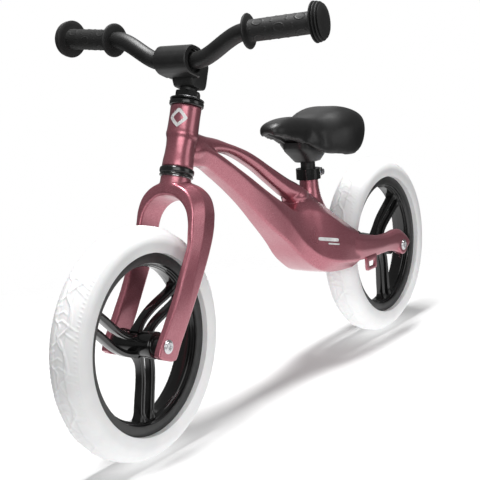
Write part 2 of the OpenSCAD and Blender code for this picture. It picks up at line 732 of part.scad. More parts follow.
// ---- frame ----
module lower_body(skin) {
    intersection() {
        side_prism(placed(concat(raise(lower_bottom, skin), rev(raise(lower_top, -skin)))), 60);
        plan_prism([for (p = lower_plan) [place([p.x, 200]).x, p.y - skin]], 0, 600);
    }
}
module stays() {
    intersection() {
        side_prism(placed(concat(stay_bottom, rev(stay_top))), 80);
        plan_prism([for (p = stay_plan) [place([p.x, 150]).x, p.y]], 0, 600);
    }
}
module upper_spar() { side_prism(placed(concat(upper_bottom, rev(upper_top))), upper_half); }
module wheel_space() {
    at_rear_axle() across() cylinder(r = tyre_r + 8, h = 2 * stay_in, center = true);
    translate([-axle_x - tyre_r - 60, -stay_in, 0]) cube([tyre_r + 60, 2 * stay_in, 400]);
}
module frame() {
    tab = place([tab_x, 140]);
    seat_foot = place([-seat_tube_x, 215]).y;
    color(rose) difference() {
        union() {
            difference() {
                union() {
                    lower_body(0);
                    stays();
                }
                intersection() {
                    lower_body(wall);
                    translate([-500, -200, 0]) cube([540, 400, 500]);
                }
            }
            upper_spar();
            on_steering() translate([0, 0, head_bottom]) cylinder(r = head_od / 2, h = head_len);
            translate([-seat_tube_x, 0, seat_foot]) cylinder(r = seat_tube_r, h = seat_tube_top - seat_foot);
            translate([tab.x - tab_w / 2, stay_half - tab_t - 1, tab.y - 12]) cube([tab_w, tab_t, 22]);
        }
        wheel_space();
        on_steering() translate([0, 0, head_bottom - 1]) cylinder(r = head_bore_r, h = head_len + 2);
        translate([-seat_tube_x, 0, post_bottom - 12])
            cylinder(r = post_r + run_gap, h = seat_tube_top - post_bottom + 20);
        translate([-seat_tube_x - 30, -1, seat_tube_top - 26]) cube([30, 2, 40]);
        at_rear_axle() across() cylinder(r = axle_r + run_gap, h = 200, center = true);
        translate([tab.x - 13, 30, tab.y - 7]) cube([10, 40, 7]);
    }
}

frame();
headset_upper_cup();
headset_lower_cup();
seat_clamp_collar();
seat_clamp_bolt();
seat_clamp_nut();
rear_axle();
rear_axle_screws();
rear_axle_washers();
rear_axle_spacers();
rear_axle_sleeve();
rear_inner_races();
fork();
steerer_tube();
crown_race();
headset_lower_balls();
headset_upper_balls();
headset_top_race();
lock_washer();
lock_nut();
front_axle();
front_axle_screws();
front_axle_washers();
front_axle_spacers();
front_axle_sleeve();
front_inner_races();
stem();
stem_clamp_cap();
stem_clamp_screws();
expander_bolt();
expander_wedge();
handlebar();
left_grip();
right_grip();
left_grip_cap();
right_grip_cap();
front_tyre();
front_rim();
front_outer_races();
front_balls();
front_shields();
rear_tyre();
rear_rim();
rear_outer_races();
rear_balls();
rear_shields();
saddle_cover();
saddle_base();
saddle_bracket();
saddle_screws();
seat_post();
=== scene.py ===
# Child's balance bike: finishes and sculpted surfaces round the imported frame
import math
import bmesh
import bpy
import numpy as np
from mathutils import Matrix, Vector


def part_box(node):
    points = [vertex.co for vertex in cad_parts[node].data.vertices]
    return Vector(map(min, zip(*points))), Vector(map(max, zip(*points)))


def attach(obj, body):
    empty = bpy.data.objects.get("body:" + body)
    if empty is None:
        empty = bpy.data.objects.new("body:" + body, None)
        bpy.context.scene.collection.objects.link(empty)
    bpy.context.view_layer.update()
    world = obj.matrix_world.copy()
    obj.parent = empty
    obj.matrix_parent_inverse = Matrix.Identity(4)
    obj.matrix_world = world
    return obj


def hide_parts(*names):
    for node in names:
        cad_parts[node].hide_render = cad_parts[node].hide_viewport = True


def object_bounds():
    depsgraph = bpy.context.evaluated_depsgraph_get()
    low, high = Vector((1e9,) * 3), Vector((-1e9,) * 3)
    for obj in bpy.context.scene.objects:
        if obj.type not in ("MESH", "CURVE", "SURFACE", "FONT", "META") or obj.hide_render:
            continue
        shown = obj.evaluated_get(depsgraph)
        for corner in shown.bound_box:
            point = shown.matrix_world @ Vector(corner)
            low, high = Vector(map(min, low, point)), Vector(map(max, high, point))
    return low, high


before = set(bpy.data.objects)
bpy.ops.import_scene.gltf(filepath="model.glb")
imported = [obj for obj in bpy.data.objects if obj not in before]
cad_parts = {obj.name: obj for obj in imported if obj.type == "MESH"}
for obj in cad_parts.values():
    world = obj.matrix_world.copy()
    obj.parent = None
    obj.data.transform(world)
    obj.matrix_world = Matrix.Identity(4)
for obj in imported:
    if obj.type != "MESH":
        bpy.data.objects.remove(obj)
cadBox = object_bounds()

scene = bpy.context.scene
scene.view_settings.view_transform = "Standard"
mm = 0.001


def along(knots, values, at):
    # Cubic Hermite curve through the values, with tangents from the neighbouring knots
    k = np.asarray(knots, float)
    v = np.asarray(values, float).reshape(len(k), -1)
    if k[0] > k[-1]:
        k, v = k[::-1], v[::-1]
    slope = np.gradient(v, k, axis=0)
    i = np.clip(np.searchsorted(k, at, side="right") - 1, 0, len(k) - 2)
    h = (k[i + 1] - k[i])[:, None]
    t = np.clip((at - k[i])[:, None] / h, 0, 1)
    out = ((2 * t**3 - 3 * t**2 + 1) * v[i] + (t**3 - 2 * t**2 + t) * h * slope[i]
           + (3 * t**2 - 2 * t**3) * v[i + 1] + (t**3 - t**2) * h * slope[i + 1])
    return out


def smoothLine(points, count):
    # The same curve through points in space, sampled evenly by chord length
    p = np.asarray(points, float)
    steps = np.linalg.norm(np.diff(p, axis=0), axis=1)
    t = np.concatenate([[0], np.cumsum(steps)])
    return along(t, p, np.linspace(0, t[-1], count))


def rounded(points, radius, closed=True, steps=4):
    # Each corner becomes a quadratic arc that starts and ends a radius away from it
    p = np.asarray(points, float)
    back = np.roll(p, 1, axis=-2) - p
    ahead = np.roll(p, -1, axis=-2) - p
    lenBack = np.linalg.norm(back, axis=-1, keepdims=True) + 1e-12
    lenAhead = np.linalg.norm(ahead, axis=-1, keepdims=True) + 1e-12
    start = p + back / lenBack * np.minimum(radius, lenBack * 0.45)
    end = p + ahead / lenAhead * np.minimum(radius, lenAhead * 0.45)
    t = np.linspace(0, 1, steps)[:, None]
    arc = ((1 - t)**2 * start[..., None, :] + 2 * t * (1 - t) * p[..., None, :] + t**2 * end[..., None, :])
    if not closed:
        arc[..., 0, :, :] = p[..., 0, None, :]
        arc[..., -1, :, :] = p[..., -1, None, :]
    return arc.reshape(*p.shape[:-2], -1, p.shape[-1])


def circle(count):
    return np.linspace(0, 2 * np.pi, count, endpoint=False)


def squarish(wave, power):
    # A sine or cosine raised to a power with its sign kept, which squares a circle up
    return np.sign(wave) * np.abs(wave) ** power


def stationsOf(table, count):
    # Even steps down the first column, with every other column carried through them
    t = np.array(table)
    x = np.linspace(t[0, 0], t[-1, 0], count)
    return x, along(t[:, 0], t[:, 1:], x).T


def gridPart(points, closeU=False, closeV=True, slot=0):
    # A grid of points u by v as quads, each row a closed ring, with fans over open ends
    nu, nv = points.shape[:2]
    u = np.arange(nu if closeU else nu - 1)
    v = np.arange(nv if closeV else nv - 1)
    uu, vv = np.meshgrid(u, v, indexing="ij")
    u1, v1 = (uu + 1) % nu, (vv + 1) % nv
    quads = np.stack([uu * nv + vv, uu * nv + v1, u1 * nv + v1, u1 * nv + vv], axis=-1).reshape(-1, 4)
    verts = points.reshape(-1, 3)
    faces = quads.tolist()
    if not closeU:
        tops = np.stack([points[0].mean(axis=0), points[-1].mean(axis=0)])
        ring = np.arange(nv)
        nxt = (ring + 1) % nv
        base = len(verts)
        last = (nu - 1) * nv
        faces += np.stack([np.full(nv, base), nxt, ring], axis=1).tolist()
        faces += np.stack([np.full(nv, base + 1), last + ring, last + nxt], axis=1).tolist()
        verts = np.vstack([verts, tops])
    return verts, faces, slot


def turned(profile, origin, axis, count, closed=False, slot=0, bump=None):
    # A profile of [radius, distance along the axis] swung right round the axis
    axis = np.asarray(axis, float) / np.linalg.norm(axis)
    side = np.cross(axis, [0.0, 0.0, 1.0] if abs(axis[2]) < 0.9 else [1.0, 0.0, 0.0])
    side /= np.linalg.norm(side)
    other = np.cross(axis, side)
    prof = np.asarray(profile, float)
    a = circle(count)
    radius = np.tile(prof[:, 0], (count, 1))
    if bump is not None:
        radius = radius + bump(a[:, None], prof[None, :, 1])
    radial = np.cos(a)[:, None, None] * side + np.sin(a)[:, None, None] * other
    pts = np.asarray(origin, float) + prof[None, :, 1:2] * axis + radius[..., None] * radial
    return gridPart(pts, closeU=True, closeV=closed, slot=slot)


def addObject(name, data):
    obj = bpy.data.objects.new(name, data)
    scene.collection.objects.link(obj)
    return obj


def makePiece(name, parts, materials, sharp=38):
    # Joins the parts into one mesh with its materials, cleaned and shaded
    verts, faces, slots, shift = [], [], [], 0
    for v, f, s in parts:
        verts.append(v)
        faces += [[i + shift for i in face] for face in f]
        slots += [s] * len(f)
        shift += len(v)
    mesh = bpy.data.meshes.new(name)
    mesh.from_pydata(np.vstack(verts).tolist(), [], faces)
    mesh.polygons.foreach_set("material_index", np.array(slots, dtype=np.int32))
    obj = addObject(name, mesh)
    for m in materials:
        mesh.materials.append(m)
    cleanMesh(obj)
    finishShade(obj, sharp)
    return obj


def cleanMesh(obj):
    # Seams and poles merge into single points, and every face turns outwards
    bm = bmesh.new()
    bm.from_mesh(obj.data)
    bmesh.ops.remove_doubles(bm, verts=bm.verts, dist=1e-6)
    bmesh.ops.dissolve_degenerate(bm, edges=bm.edges, dist=1e-7)
    bmesh.ops.recalc_face_normals(bm, faces=bm.faces)
    bm.to_mesh(obj.data)
    bm.free()


def finishShade(obj, sharp):
    obj.data.shade_smooth()
    if sharp:
        obj.data.set_sharp_from_angle(angle=math.radians(sharp))


def applyAll(obj):
    # The mesh with its modifiers becomes the object's own mesh
    graph = bpy.context.evaluated_depsgraph_get()
    graph.update()
    new = bpy.data.meshes.new_from_object(obj.evaluated_get(graph))
    obj.modifiers.clear()
    obj.data = new


def recoat(obj, mat):
    obj.data.materials.clear()
    obj.data.materials.append(mat)


def voxelShell(obj, size):
    shell = obj.modifiers.new("shell", "REMESH")
    shell.mode = "VOXEL"
    shell.voxel_size = size


def smoothing(obj, passes):
    relax = obj.modifiers.new("relax", "SMOOTH")
    relax.factor = 0.5
    relax.iterations = passes


def fuse(obj, voxel, passes):
    # One skin over every part: a voxel shell, relaxed so that the joints turn into fillets
    mat = obj.data.materials[0]
    voxelShell(obj, voxel)
    smoothing(obj, passes)
    applyAll(obj)
    recoat(obj, mat)
    finishShade(obj, None)


def points(obj):
    p = np.empty(len(obj.data.vertices) * 3)
    obj.data.vertices.foreach_get("co", p)
    return p.reshape(-1, 3)


def setPoints(obj, p):
    obj.data.vertices.foreach_set("co", p.reshape(-1))
    obj.data.update()


def centreOf(node):
    low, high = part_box(node)
    return (np.array(low) + np.array(high)) / 2


def newMaterial(name, scale=(1, 1, 1), **values):
    mat = bpy.data.materials.new(name)
    mat.use_nodes = True
    shader = mat.node_tree.nodes["Principled BSDF"]
    for key, value in values.items():
        shader.inputs[key.replace("_", " ")].default_value = value
    return mat, mat.node_tree, shader, objectCoords(mat.node_tree, scale)


def addNode(tree, kind, inputs=None, **props):
    node = tree.nodes.new("ShaderNode" + kind)
    for key, value in props.items():
        setattr(node, key, value)
    for key, value in (inputs or {}).items():
        node.inputs[key].default_value = value
    return node


def objectCoords(tree, scale):
    coord = addNode(tree, "TexCoord")
    place = addNode(tree, "Mapping", {"Scale": scale})
    tree.links.new(coord.outputs["Object"], place.inputs["Vector"])
    return place.outputs["Vector"]


def noise(tree, where, scale, detail=3.0, rough=0.55):
    node = addNode(tree, "TexNoise", {"Scale": scale, "Detail": detail, "Roughness": rough})
    tree.links.new(where, node.inputs["Vector"])
    return node.outputs["Fac"]


def ramp(tree, fac, stops):
    node = addNode(tree, "ValToRGB")
    line = node.color_ramp
    line.elements[0].position, line.elements[1].position = stops[0][0], stops[-1][0]
    line.elements[0].color, line.elements[1].color = stops[0][1], stops[-1][1]
    for pos, colour in stops[1:-1]:
        line.elements.new(pos).color = colour
    tree.links.new(fac, node.inputs["Fac"])
    return node.outputs["Color"]


def grey(v):
    return (v, v, v, 1)


def mapRange(tree, value, start, end, low, high):
    node = addNode(tree, "MapRange", {"From Min": start, "From Max": end, "To Min": low, "To Max": high})
    tree.links.new(value, node.inputs["Value"])
    return node.outputs["Result"]


def spread(tree, fac, low, high):
    return mapRange(tree, fac, 0.3, 0.7, low, high)


def voronoi(tree, where, scale, **props):
    node = addNode(tree, "TexVoronoi", {"Scale": scale}, **props)
    tree.links.new(where, node.inputs["Vector"])
    return node.outputs


def feed(tree, shader, colour, gloss):
    tree.links.new(colour, shader.inputs["Base Color"])
    tree.links.new(gloss, shader.inputs["Roughness"])


def splitByCamera(tree, unseen, seen, output):
    # The camera meets one shader and every other ray the other
    rays = addNode(tree, "LightPath")
    mix = addNode(tree, "MixShader")
    tree.links.new(rays.outputs["Is Camera Ray"], mix.inputs[0])
    tree.links.new(unseen.outputs[0], mix.inputs[1])
    tree.links.new(seen.outputs[0], mix.inputs[2])
    tree.links.new(mix.outputs[0], tree.nodes[output].inputs["Surface"])


def bumpFrom(tree, shader, height, strength, distance, before=None):
    node = addNode(tree, "Bump", {"Strength": strength, "Distance": distance})
    tree.links.new(height, node.inputs["Height"])
    if before is not None:
        tree.links.new(before, node.inputs["Normal"])
    tree.links.new(node.outputs["Normal"], shader.inputs["Normal"])
    return node.outputs["Normal"]


paintLook = dict(dark=(0.35, 0.096, 0.128, 1), mid=(0.46, 0.15, 0.188, 1), light=(0.58, 0.245, 0.288, 1),
                 flakeScale=2600.0, peelScale=190.0)


def rosePaint():
    # Metallic rose: aluminium flakes in the colour, orange peel under a clear coat
    mat, tree, shader, where = newMaterial("rosePaint", Metallic=0.74, Coat_Weight=0.42, Coat_Roughness=0.1)
    flake = voronoi(tree, where, paintLook["flakeScale"])
    split = addNode(tree, "SeparateColor")
    tree.links.new(flake["Color"], split.inputs["Color"])
    colour = ramp(tree, split.outputs["Red"], [(0.0, paintLook["dark"]), (0.5, paintLook["mid"]),
                                               (1.0, paintLook["light"])])
    feed(tree, shader, colour, spread(tree, noise(tree, where, 24.0), 0.27, 0.36))
    sparkle = bumpFrom(tree, shader, split.outputs["Green"], 0.16, 0.00006)
    bumpFrom(tree, shader, noise(tree, where, paintLook["peelScale"], 2.0), 0.08, 0.0003, sparkle)
    return mat


def grainCoat(name, base, rough, grain=520.0, depth=0.00008, strength=0.3, coat=0.0):
    # Powder coat or moulded plastic: fine grain in the bump and patches in the gloss
    mat, tree, shader, where = newMaterial(name, Coat_Weight=coat, Coat_Roughness=0.12,
                                           Specular_IOR_Level=0.5)
    tone = noise(tree, where, 60.0)
    feed(tree, shader, ramp(tree, tone, [(0.35, grey(base * 0.8)), (0.65, grey(base * 1.25))]),
         spread(tree, noise(tree, where, 35.0, 4.0), rough - 0.05, rough + 0.06))
    bumpFrom(tree, shader, noise(tree, where, grain, 4.0), strength, depth)
    return mat


def whiteFoam():
    # Closed-cell foam: near white, faint cell pits and a little grey in random patches
    mat, tree, shader, where = newMaterial("whiteFoam", Specular_IOR_Level=0.35,
                                           Subsurface_Weight=0.06, Subsurface_Scale=0.004)
    tone = noise(tree, where, 18.0, 4.0)
    feed(tree, shader, ramp(tree, tone, [(0.3, (0.83, 0.83, 0.835, 1)), (0.62, (0.90, 0.90, 0.902, 1))]),
         spread(tree, noise(tree, where, 90.0), 0.5, 0.64))
    cells = voronoi(tree, where, 900.0)["Distance"]
    first = bumpFrom(tree, shader, cells, 0.12, 0.0001)
    bumpFrom(tree, shader, noise(tree, where, 46.0, 5.0), 0.14, 0.0006, first)
    return mat


def vinylSkin():
    # Satin vinyl: leather-like cells with creases, a soft sheen
    mat, tree, shader, where = newMaterial("saddleVinyl", Specular_IOR_Level=0.45, Coat_Weight=0.12,
                                           Coat_Roughness=0.35)
    cells = voronoi(tree, where, 640.0, feature="DISTANCE_TO_EDGE")["Distance"]
    feed(tree, shader, ramp(tree, noise(tree, where, 30.0), [(0.3, grey(0.005)), (0.7, grey(0.010))]),
         spread(tree, noise(tree, where, 22.0, 4.0), 0.36, 0.47))
    first = bumpFrom(tree, shader, cells, 0.22, 0.00012)
    bumpFrom(tree, shader, noise(tree, where, 1500.0, 2.0), 0.1, 0.00005, first)
    return mat


def brightMetal(name, colour, rough):
    # Zinc or polished steel with turning marks and small smudges
    mat, tree, shader, where = newMaterial(name, (1, 3, 1), Metallic=1.0, Anisotropic=0.25)
    low = tuple(c * 0.82 for c in colour) + (1,)
    feed(tree, shader, ramp(tree, noise(tree, where, 160.0, 4.0), [(0.3, low), (0.7, colour + (1,))]),
         spread(tree, noise(tree, where, 240.0), rough, rough + 0.12))
    bumpFrom(tree, shader, noise(tree, where, 900.0, 2.0), 0.12, 0.00004)
    return mat


paint = rosePaint()
powder = grainCoat("blackPowder", 0.010, 0.42, grain=420.0, depth=0.00002, strength=0.06)
stemCoat = grainCoat("stemCoat", 0.012, 0.46, grain=700.0, depth=0.00005, strength=0.25)
rimGloss = grainCoat("rimGloss", 0.006, 0.17, grain=300.0, depth=0.00003, strength=0.12, coat=0.4)
rimSatin = grainCoat("rimSatin", 0.028, 0.42, grain=900.0, strength=0.3)
rubber = grainCoat("gripRubber", 0.009, 0.60, grain=900.0, depth=0.00003, strength=0.2)
panPlastic = grainCoat("panPlastic", 0.012, 0.38, grain=1100.0, strength=0.35)
anodised = grainCoat("anodisedBlack", 0.008, 0.22, grain=500.0, depth=0.00003, strength=0.15, coat=0.3)
foam = whiteFoam()
vinyl = vinylSkin()
zinc = brightMetal("zincSteel", (0.78, 0.78, 0.80), 0.24)
chrome = brightMetal("bearingChrome", (0.84, 0.84, 0.86), 0.12)
print("finishes made")

# Places taken from the frame
frontHub = centreOf("front_rim")
rearHub = centreOf("rear_rim")
headAngle = math.radians(68.8)
forkOffset = 27 * mm
axisUp = np.array([-math.cos(headAngle), 0, math.sin(headAngle)])
axisAhead = np.array([math.sin(headAngle), 0, math.cos(headAngle)])
axisFoot = frontHub - forkOffset * axisAhead
yAxis = np.array([0.0, 1.0, 0.0])


def onSteering(local):
    # [ahead, across, up the axis] in millimetres to the bike's frame in metres
    p = np.asarray(local, float) * mm
    return axisFoot + p[..., 0:1] * axisAhead + p[..., 1:2] * yAxis + p[..., 2:3] * axisUp


def putXZ(x, y, z):
    return np.stack(np.broadcast_arrays(x, y, z), axis=-1) * mm


# The frame: half outlines station by station, in millimetres
casting = dict(
    stations=120, voxel=0.0015, relax=4, corner=2.2, wheelRoom=153, wheelHalf=36.9,
    # x: top centre z | crease y, z | shoulder y, z | ledge y, z | belly edge y, z
    body=[
        [206, 388, 8, 387, 12, 384, 14, 377, 9, 351], [184, 380, 10, 379, 15, 375, 16, 369, 9.5, 345],
        [160, 369, 12, 368, 17, 364, 17.5, 358, 10, 340],
        [135, 355, 14, 354, 18.5, 350, 18.8, 344, 10.5, 324],
        [105, 337, 14.5, 336, 19, 332, 19.5, 325.5, 11, 303],
        [70, 316, 14.5, 315, 19.3, 311, 19.8, 302, 11.5, 275],
        [30, 291, 14.5, 290, 19.5, 286, 20.5, 275.8, 14.5, 240],
        [-13, 266, 14.5, 265, 20.5, 261, 24, 238, 21, 204.5],
        [-39, 252, 15, 251.5, 22.5, 247, 29.5, 205.5, 25, 180],
        [-65, 264, 16, 263, 29, 247, 36.5, 180, 27, 161.5],
        [-84, 261, 20, 260, 36, 240, 41.5, 169, 29, 151], [-114, 245, 25, 243, 44, 222, 46.5, 159, 28, 142],
        [-145, 226, 26, 224, 48.5, 203, 48, 153, 31, 138.5],
        [-171, 211, 26, 209, 50, 194, 49, 149.5, 35, 138],
    ],
    # x: top z, bottom z, half width
    spar=[
        [200, 392, 366, 16], [180, 388, 362, 15.5], [160, 381.5, 358, 14.5], [131, 374, 355.5, 13.5],
        [109, 366.5, 352, 13], [85, 358.5, 343.5, 12.5], [61, 349.5, 331.5, 12.3], [37, 338, 318, 12.3],
        [13, 325, 302, 12.5], [-13, 311, 285, 13], [-39, 297, 269, 14.5], [-66, 283.5, 258, 17.5],
        [-96, 263, 240, 18], [-120, 246, 232, 18],
    ],
    # x: top z, bottom z, outer y, inner y
    stay=[
        [-104, 210, 172, 36, 26], [-120, 207, 163, 42, 30], [-141, 200, 157, 46.5, 34],
        [-166, 193.5, 150, 50.8, 37.6],
        [-205, 184, 145.5, 52, 37.6], [-239, 177, 144, 51.8, 37.6], [-274, 174, 142.5, 51.6, 37.6],
        [-300, 175, 137, 51.5, 37.6], [-314, 172.5, 131.5, 51.5, 37.6], [-326, 166, 130, 51.5, 37.6],
        [-338, 157, 133.5, 51.5, 37.6], [-344, 150, 141, 51.5, 37.6],
    ])


def bodyPart(c):
    # Stations along x, each a ring: crown, crease, shoulder, side, ledge, belly edge, mirrored
    x, columns = stationsOf(c["body"], c["stations"])
    top, creaseY, creaseZ, shoulderY, shoulderZ, ledgeY, ledgeZ, bellyY, bellyZ = columns
    sideY = (shoulderY + ledgeY) / 2 + 0.6
    sideZ = (shoulderZ + ledgeZ) / 2
    y = np.stack([creaseY, shoulderY, sideY, ledgeY, bellyY], axis=1)
    z = np.stack([creaseZ, shoulderZ, sideZ, ledgeZ, bellyZ], axis=1)
    zero = np.zeros((len(x), 1))
    ringY = np.hstack([zero, y, zero, -y[:, ::-1]])
    ringZ = np.hstack([top[:, None], z, bellyZ[:, None] - 0.8, z[:, ::-1]])
    ring = putXZ(x[:, None], ringY, ringZ)
    return gridPart(rounded(ring, c["corner"] * mm, steps=4))


def sparPart(c):
    # Stations along x, each an eight-sided ring of the station's width and height with eased corners
    x, (top, low, half) = stationsOf(c["spar"], c["stations"])
    ring = np.array([[0.5, 1], [1, 0.62], [1, -0.3], [0.5, -1],
                     [-0.5, -1], [-1, -0.3], [-1, 0.62], [-0.5, 1]])
    mid, high = (top + low) / 2, (top - low) / 2
    pts = putXZ(x[:, None], half[:, None] * ring[:, 0], mid[:, None] + high[:, None] * ring[:, 1])
    return gridPart(rounded(pts, 2.6 * mm, steps=4))


def stayPart(c, side):
    # Stations along x, each a six-cornered ring with a flat facet low on its outer face
    x, (top, low, outer, inner) = stationsOf(c["stay"], c["stations"])
    high = top - low
    y = np.stack([inner, inner, outer - 3.5, outer, outer, outer - 4], axis=1)
    z = np.stack([low + 1, top - 1.5, top, top - high * 0.2, low + high * 0.36, low], axis=1)
    ring = putXZ(x[:, None], side * y, z)
    return gridPart(rounded(ring, 2.2 * mm, steps=4))


def eyePart(centre, y0, y1, radius):
    # A round boss about the axle, its rim eased
    prof = rounded([[0, y0], [radius, y0], [radius, y1], [0, y1]], 1.6 * mm, closed=False)
    return turned(prof, [centre[0], 0, centre[2]], yAxis, 48)


def blobPart(centre, size):
    # An ellipsoid: rings of latitude shrunk to a point at each end
    a = np.linspace(0, np.pi, 25)
    prof = np.stack([np.sin(a), -np.cos(a)], axis=1)
    v, f, s = turned(prof, [0, 0, 0], yAxis, 36)
    return np.asarray(centre) * mm + v * np.asarray(size) * mm, f, s


def ringPlate(outer, inner, y0, y1, ease=0.6):
    # A flat plate with a hole: the same count of points on both outlines, carried through its thickness
    o = rounded(outer, 2.0)
    i = rounded(inner, 1.0)
    loops = []
    for outline, y in ((o, y0), (o, y1), (i, y1), (i, y0)):
        loops.append(putXZ(outline[:, 0], y, outline[:, 1]))
    grid = np.stack(loops, axis=1)
    return gridPart(rounded(grid, ease * mm, steps=3), closeU=True)


def headTubePart():
    # Turned about the steering axis: a ridge about half way down, waisted under it
    prof = np.array([[0, 226], [19.8, 226], [20.2, 227], [19.9, 234], [18.9, 244], [18.5, 254],
                     [19.0, 263], [20.7, 268], [21.0, 270], [20.4, 272], [20.0, 280], [19.8, 296],
                     [20, 305.6], [19.6, 306.6], [0, 306.6]]) * mm
    return turned(prof, axisFoot, axisUp, 96)


def seatTubePart(low, top, radius):
    # Turned about the post, flaring downward like a trumpet
    prof = np.array([[0, low], [34, low], [27, low + 12], [21, low + 24], [17, low + 36], [14.8, low + 50],
                     [radius, low + 62], [radius, top - 1], [radius - 1, top], [0, top]]) * mm
    seat = centreOf("seat_post")
    return turned(prof, [seat[0], 0, 0], [0, 0, 1], 72)


parts = [bodyPart(casting), sparPart(casting), headTubePart(), seatTubePart(222, 300, 14),
         blobPart([-68, 0, 266], [21, 20.5, 14]), blobPart([176, 0, 366], [30, 17, 16]),
         blobPart([-114, 0, 228], [38, 25, 11])]
for side in (1, -1):
    parts.append(stayPart(casting, side))
    y0, y1 = sorted((side * 37.6 * mm, side * 51.5 * mm))
    parts.append(eyePart(rearHub, y0, y1, 15.5 * mm))
castFrame = makePiece("castFrame", parts, [paint])
fuse(castFrame, casting["voxel"], casting["relax"])
# What would stand in the wheel's space moves straight out from the rear axle
p = points(castFrame)
fromHub = p - rearHub
away = np.hypot(fromHub[:, 0], fromHub[:, 2])
room = casting["wheelRoom"] * mm
inWheel = (away < room) & (np.abs(p[:, 1]) < casting["wheelHalf"] * mm)
push = np.where(inWheel, room / np.maximum(away, 1e-6), 1.0)
p[:, 0] = rearHub[0] + fromHub[:, 0] * push
p[:, 2] = rearHub[2] + fromHub[:, 2] * push
setPoints(castFrame, p)
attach(castFrame, "frame")
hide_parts("frame")

tabOut = [[-224, 150], [-224, 131], [-221, 128], [-193, 128], [-190, 131], [-190, 150]]
tabIn = [[-217.5, 142], [-217.5, 137], [-216, 133], [-199, 133], [-197.5, 137], [-197.5, 142]]
standTab = makePiece("standTab", [ringPlate(tabOut, tabIn, 46.6, 50.4)], [paint])
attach(standTab, "frame")

badgeLook = dict(size=12.5, tube=20.0, round=13, up=288)


def headBadge():
    # A plain four-cornered outline wrapped on the head tube, its radius 1 - 0.24 |sin 2a|^0.9
    a = circle(96)
    out = badgeLook["size"] * (1 - 0.24 * np.abs(np.sin(2 * a)) ** 0.9)
    rows = [(out, 19.9), (out - 0.2, 20.5), (out * 0.56 + 0.2, 20.5), (out * 0.56, 19.9)]
    grid = []
    for size, depth in rows:
        w, h = size * np.cos(a), size * np.sin(a)
        turn = w / badgeLook["tube"] + math.radians(badgeLook["round"])
        grid.append(np.stack([depth * np.cos(turn), depth * np.sin(turn), badgeLook["up"] + h], axis=1))
    return gridPart(onSteering(np.stack(grid, axis=1)), closeU=True)


decalWhite = grainCoat("decalWhite", 0.7, 0.35, grain=300.0, depth=0.00002, strength=0.1)
badge = makePiece("headBadge", [headBadge()], [decalWhite], sharp=50)
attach(badge, "frame")
print("frame casting made")

forkLook = dict(
    voxel=0.001, relax=3, ease=1.1,
    # up the axis: outer half width, inner half width, front edge, rear edge,
    # then how far out the front corner is and how far forward the crease, as shares
    leg=[[-17, 45.6, 36.2, 33, 14, 0.97, 0.3], [-16.6, 45.8, 36.1, 38, 9.5, 0.97, 0.3],
         [-15.5, 46, 36, 40.3, 7.2, 0.97, 0.3], [-13, 46, 36, 41, 5.6, 0.97, 0.3],
         [0, 46, 36, 39.5, 2, 0.97, 0.3], [10, 46.2, 36, 36.5, -0.5, 0.97, 0.3],
         [21, 46.6, 36.1, 33, -3.5, 0.96, 0.28], [40, 47.3, 36.4, 27.5, -8.5, 0.93, 0.26],
         [59, 48, 36.8, 22.3, -13.2, 0.86, 0.32], [87, 48.8, 37.2, 17, -19.8, 0.77, 0.42],
         [125, 49.4, 37.5, 11, -27.5, 0.70, 0.52], [148, 49.5, 37.5, 9.5, -30, 0.66, 0.55],
         [160, 49.4, 37.4, 11, -30, 0.64, 0.56]],
    arcStations=44, legStations=70, crownFront=19.5, crownRear=-20.5)
crownOut = [[49.4, 160], [48, 178], [41.6, 194], [30.7, 204], [14.9, 210.5], [0, 212]]
crownIn = [[37.4, 137], [36.4, 154.6], [31.5, 170.6], [23.3, 180.6], [11.3, 187.1], [0, 188.6]]


def forkPart(look):
    # The ring of a blade carried from one tip up over the crown and down to the other
    h, (outY, inY, front, rear, corner, crease) = stationsOf(look["leg"], look["legStations"])
    arcN = look["arcStations"]
    o = smoothLine(crownOut, arcN)
    i = smoothLine(crownIn, arcN)
    blend = np.clip((h - 100) / 60, 0, 1)
    inZ = h - 23 * blend * blend * (3 - 2 * blend)
    outer = np.vstack([np.stack([outY, h], axis=1), o[1:]])
    inner = np.vstack([np.stack([inY, inZ], axis=1), i[1:]])
    arcFront = np.linspace(front[-1], look["crownFront"], arcN)[1:]
    arcRear = np.linspace(rear[-1], look["crownRear"], arcN)[1:]
    front, rear = np.concatenate([front, arcFront]), np.concatenate([rear, arcRear])
    corner = np.concatenate([corner, np.full(arcN - 1, corner[-1])])
    crease = np.concatenate([crease, np.full(arcN - 1, crease[-1])])
    full, none = np.ones_like(corner), np.zeros_like(corner)
    # share of the way from inner to outer wall, and from rear to front
    a = np.stack([none, none + 0.08, full * 0.92, full, full, corner, corner - 0.1,
                  none + 0.1, none], axis=1)
    f = np.stack([none + 0.05, none, none, none + 0.05, crease, full * 0.975, full,
                  full, full * 0.94], axis=1)
    yz = inner[:, None, :] + (outer - inner)[:, None, :] * a[..., None]
    ahead = rear[:, None] + (front - rear)[:, None] * f
    half = np.stack([ahead, yz[..., 0], yz[..., 1]], axis=-1)
    other = half[::-1][1:] * np.array([1, -1, 1])
    ring = np.concatenate([half, other])
    return gridPart(rounded(onSteering(ring), look["ease"] * mm, steps=4))


crownProf = np.array([[0, 192], [19.6, 192], [19.8, 202], [19.4, 209], [19.6, 213],
                      [19.2, 214], [0, 214]]) * mm
parts = [forkPart(forkLook), turned(crownProf, axisFoot, axisUp, 72)]
forkPiece = makePiece("forkCasting", parts, [paint])
fuse(forkPiece, forkLook["voxel"], forkLook["relax"])
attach(forkPiece, "fork")
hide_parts("fork")
print("fork made")

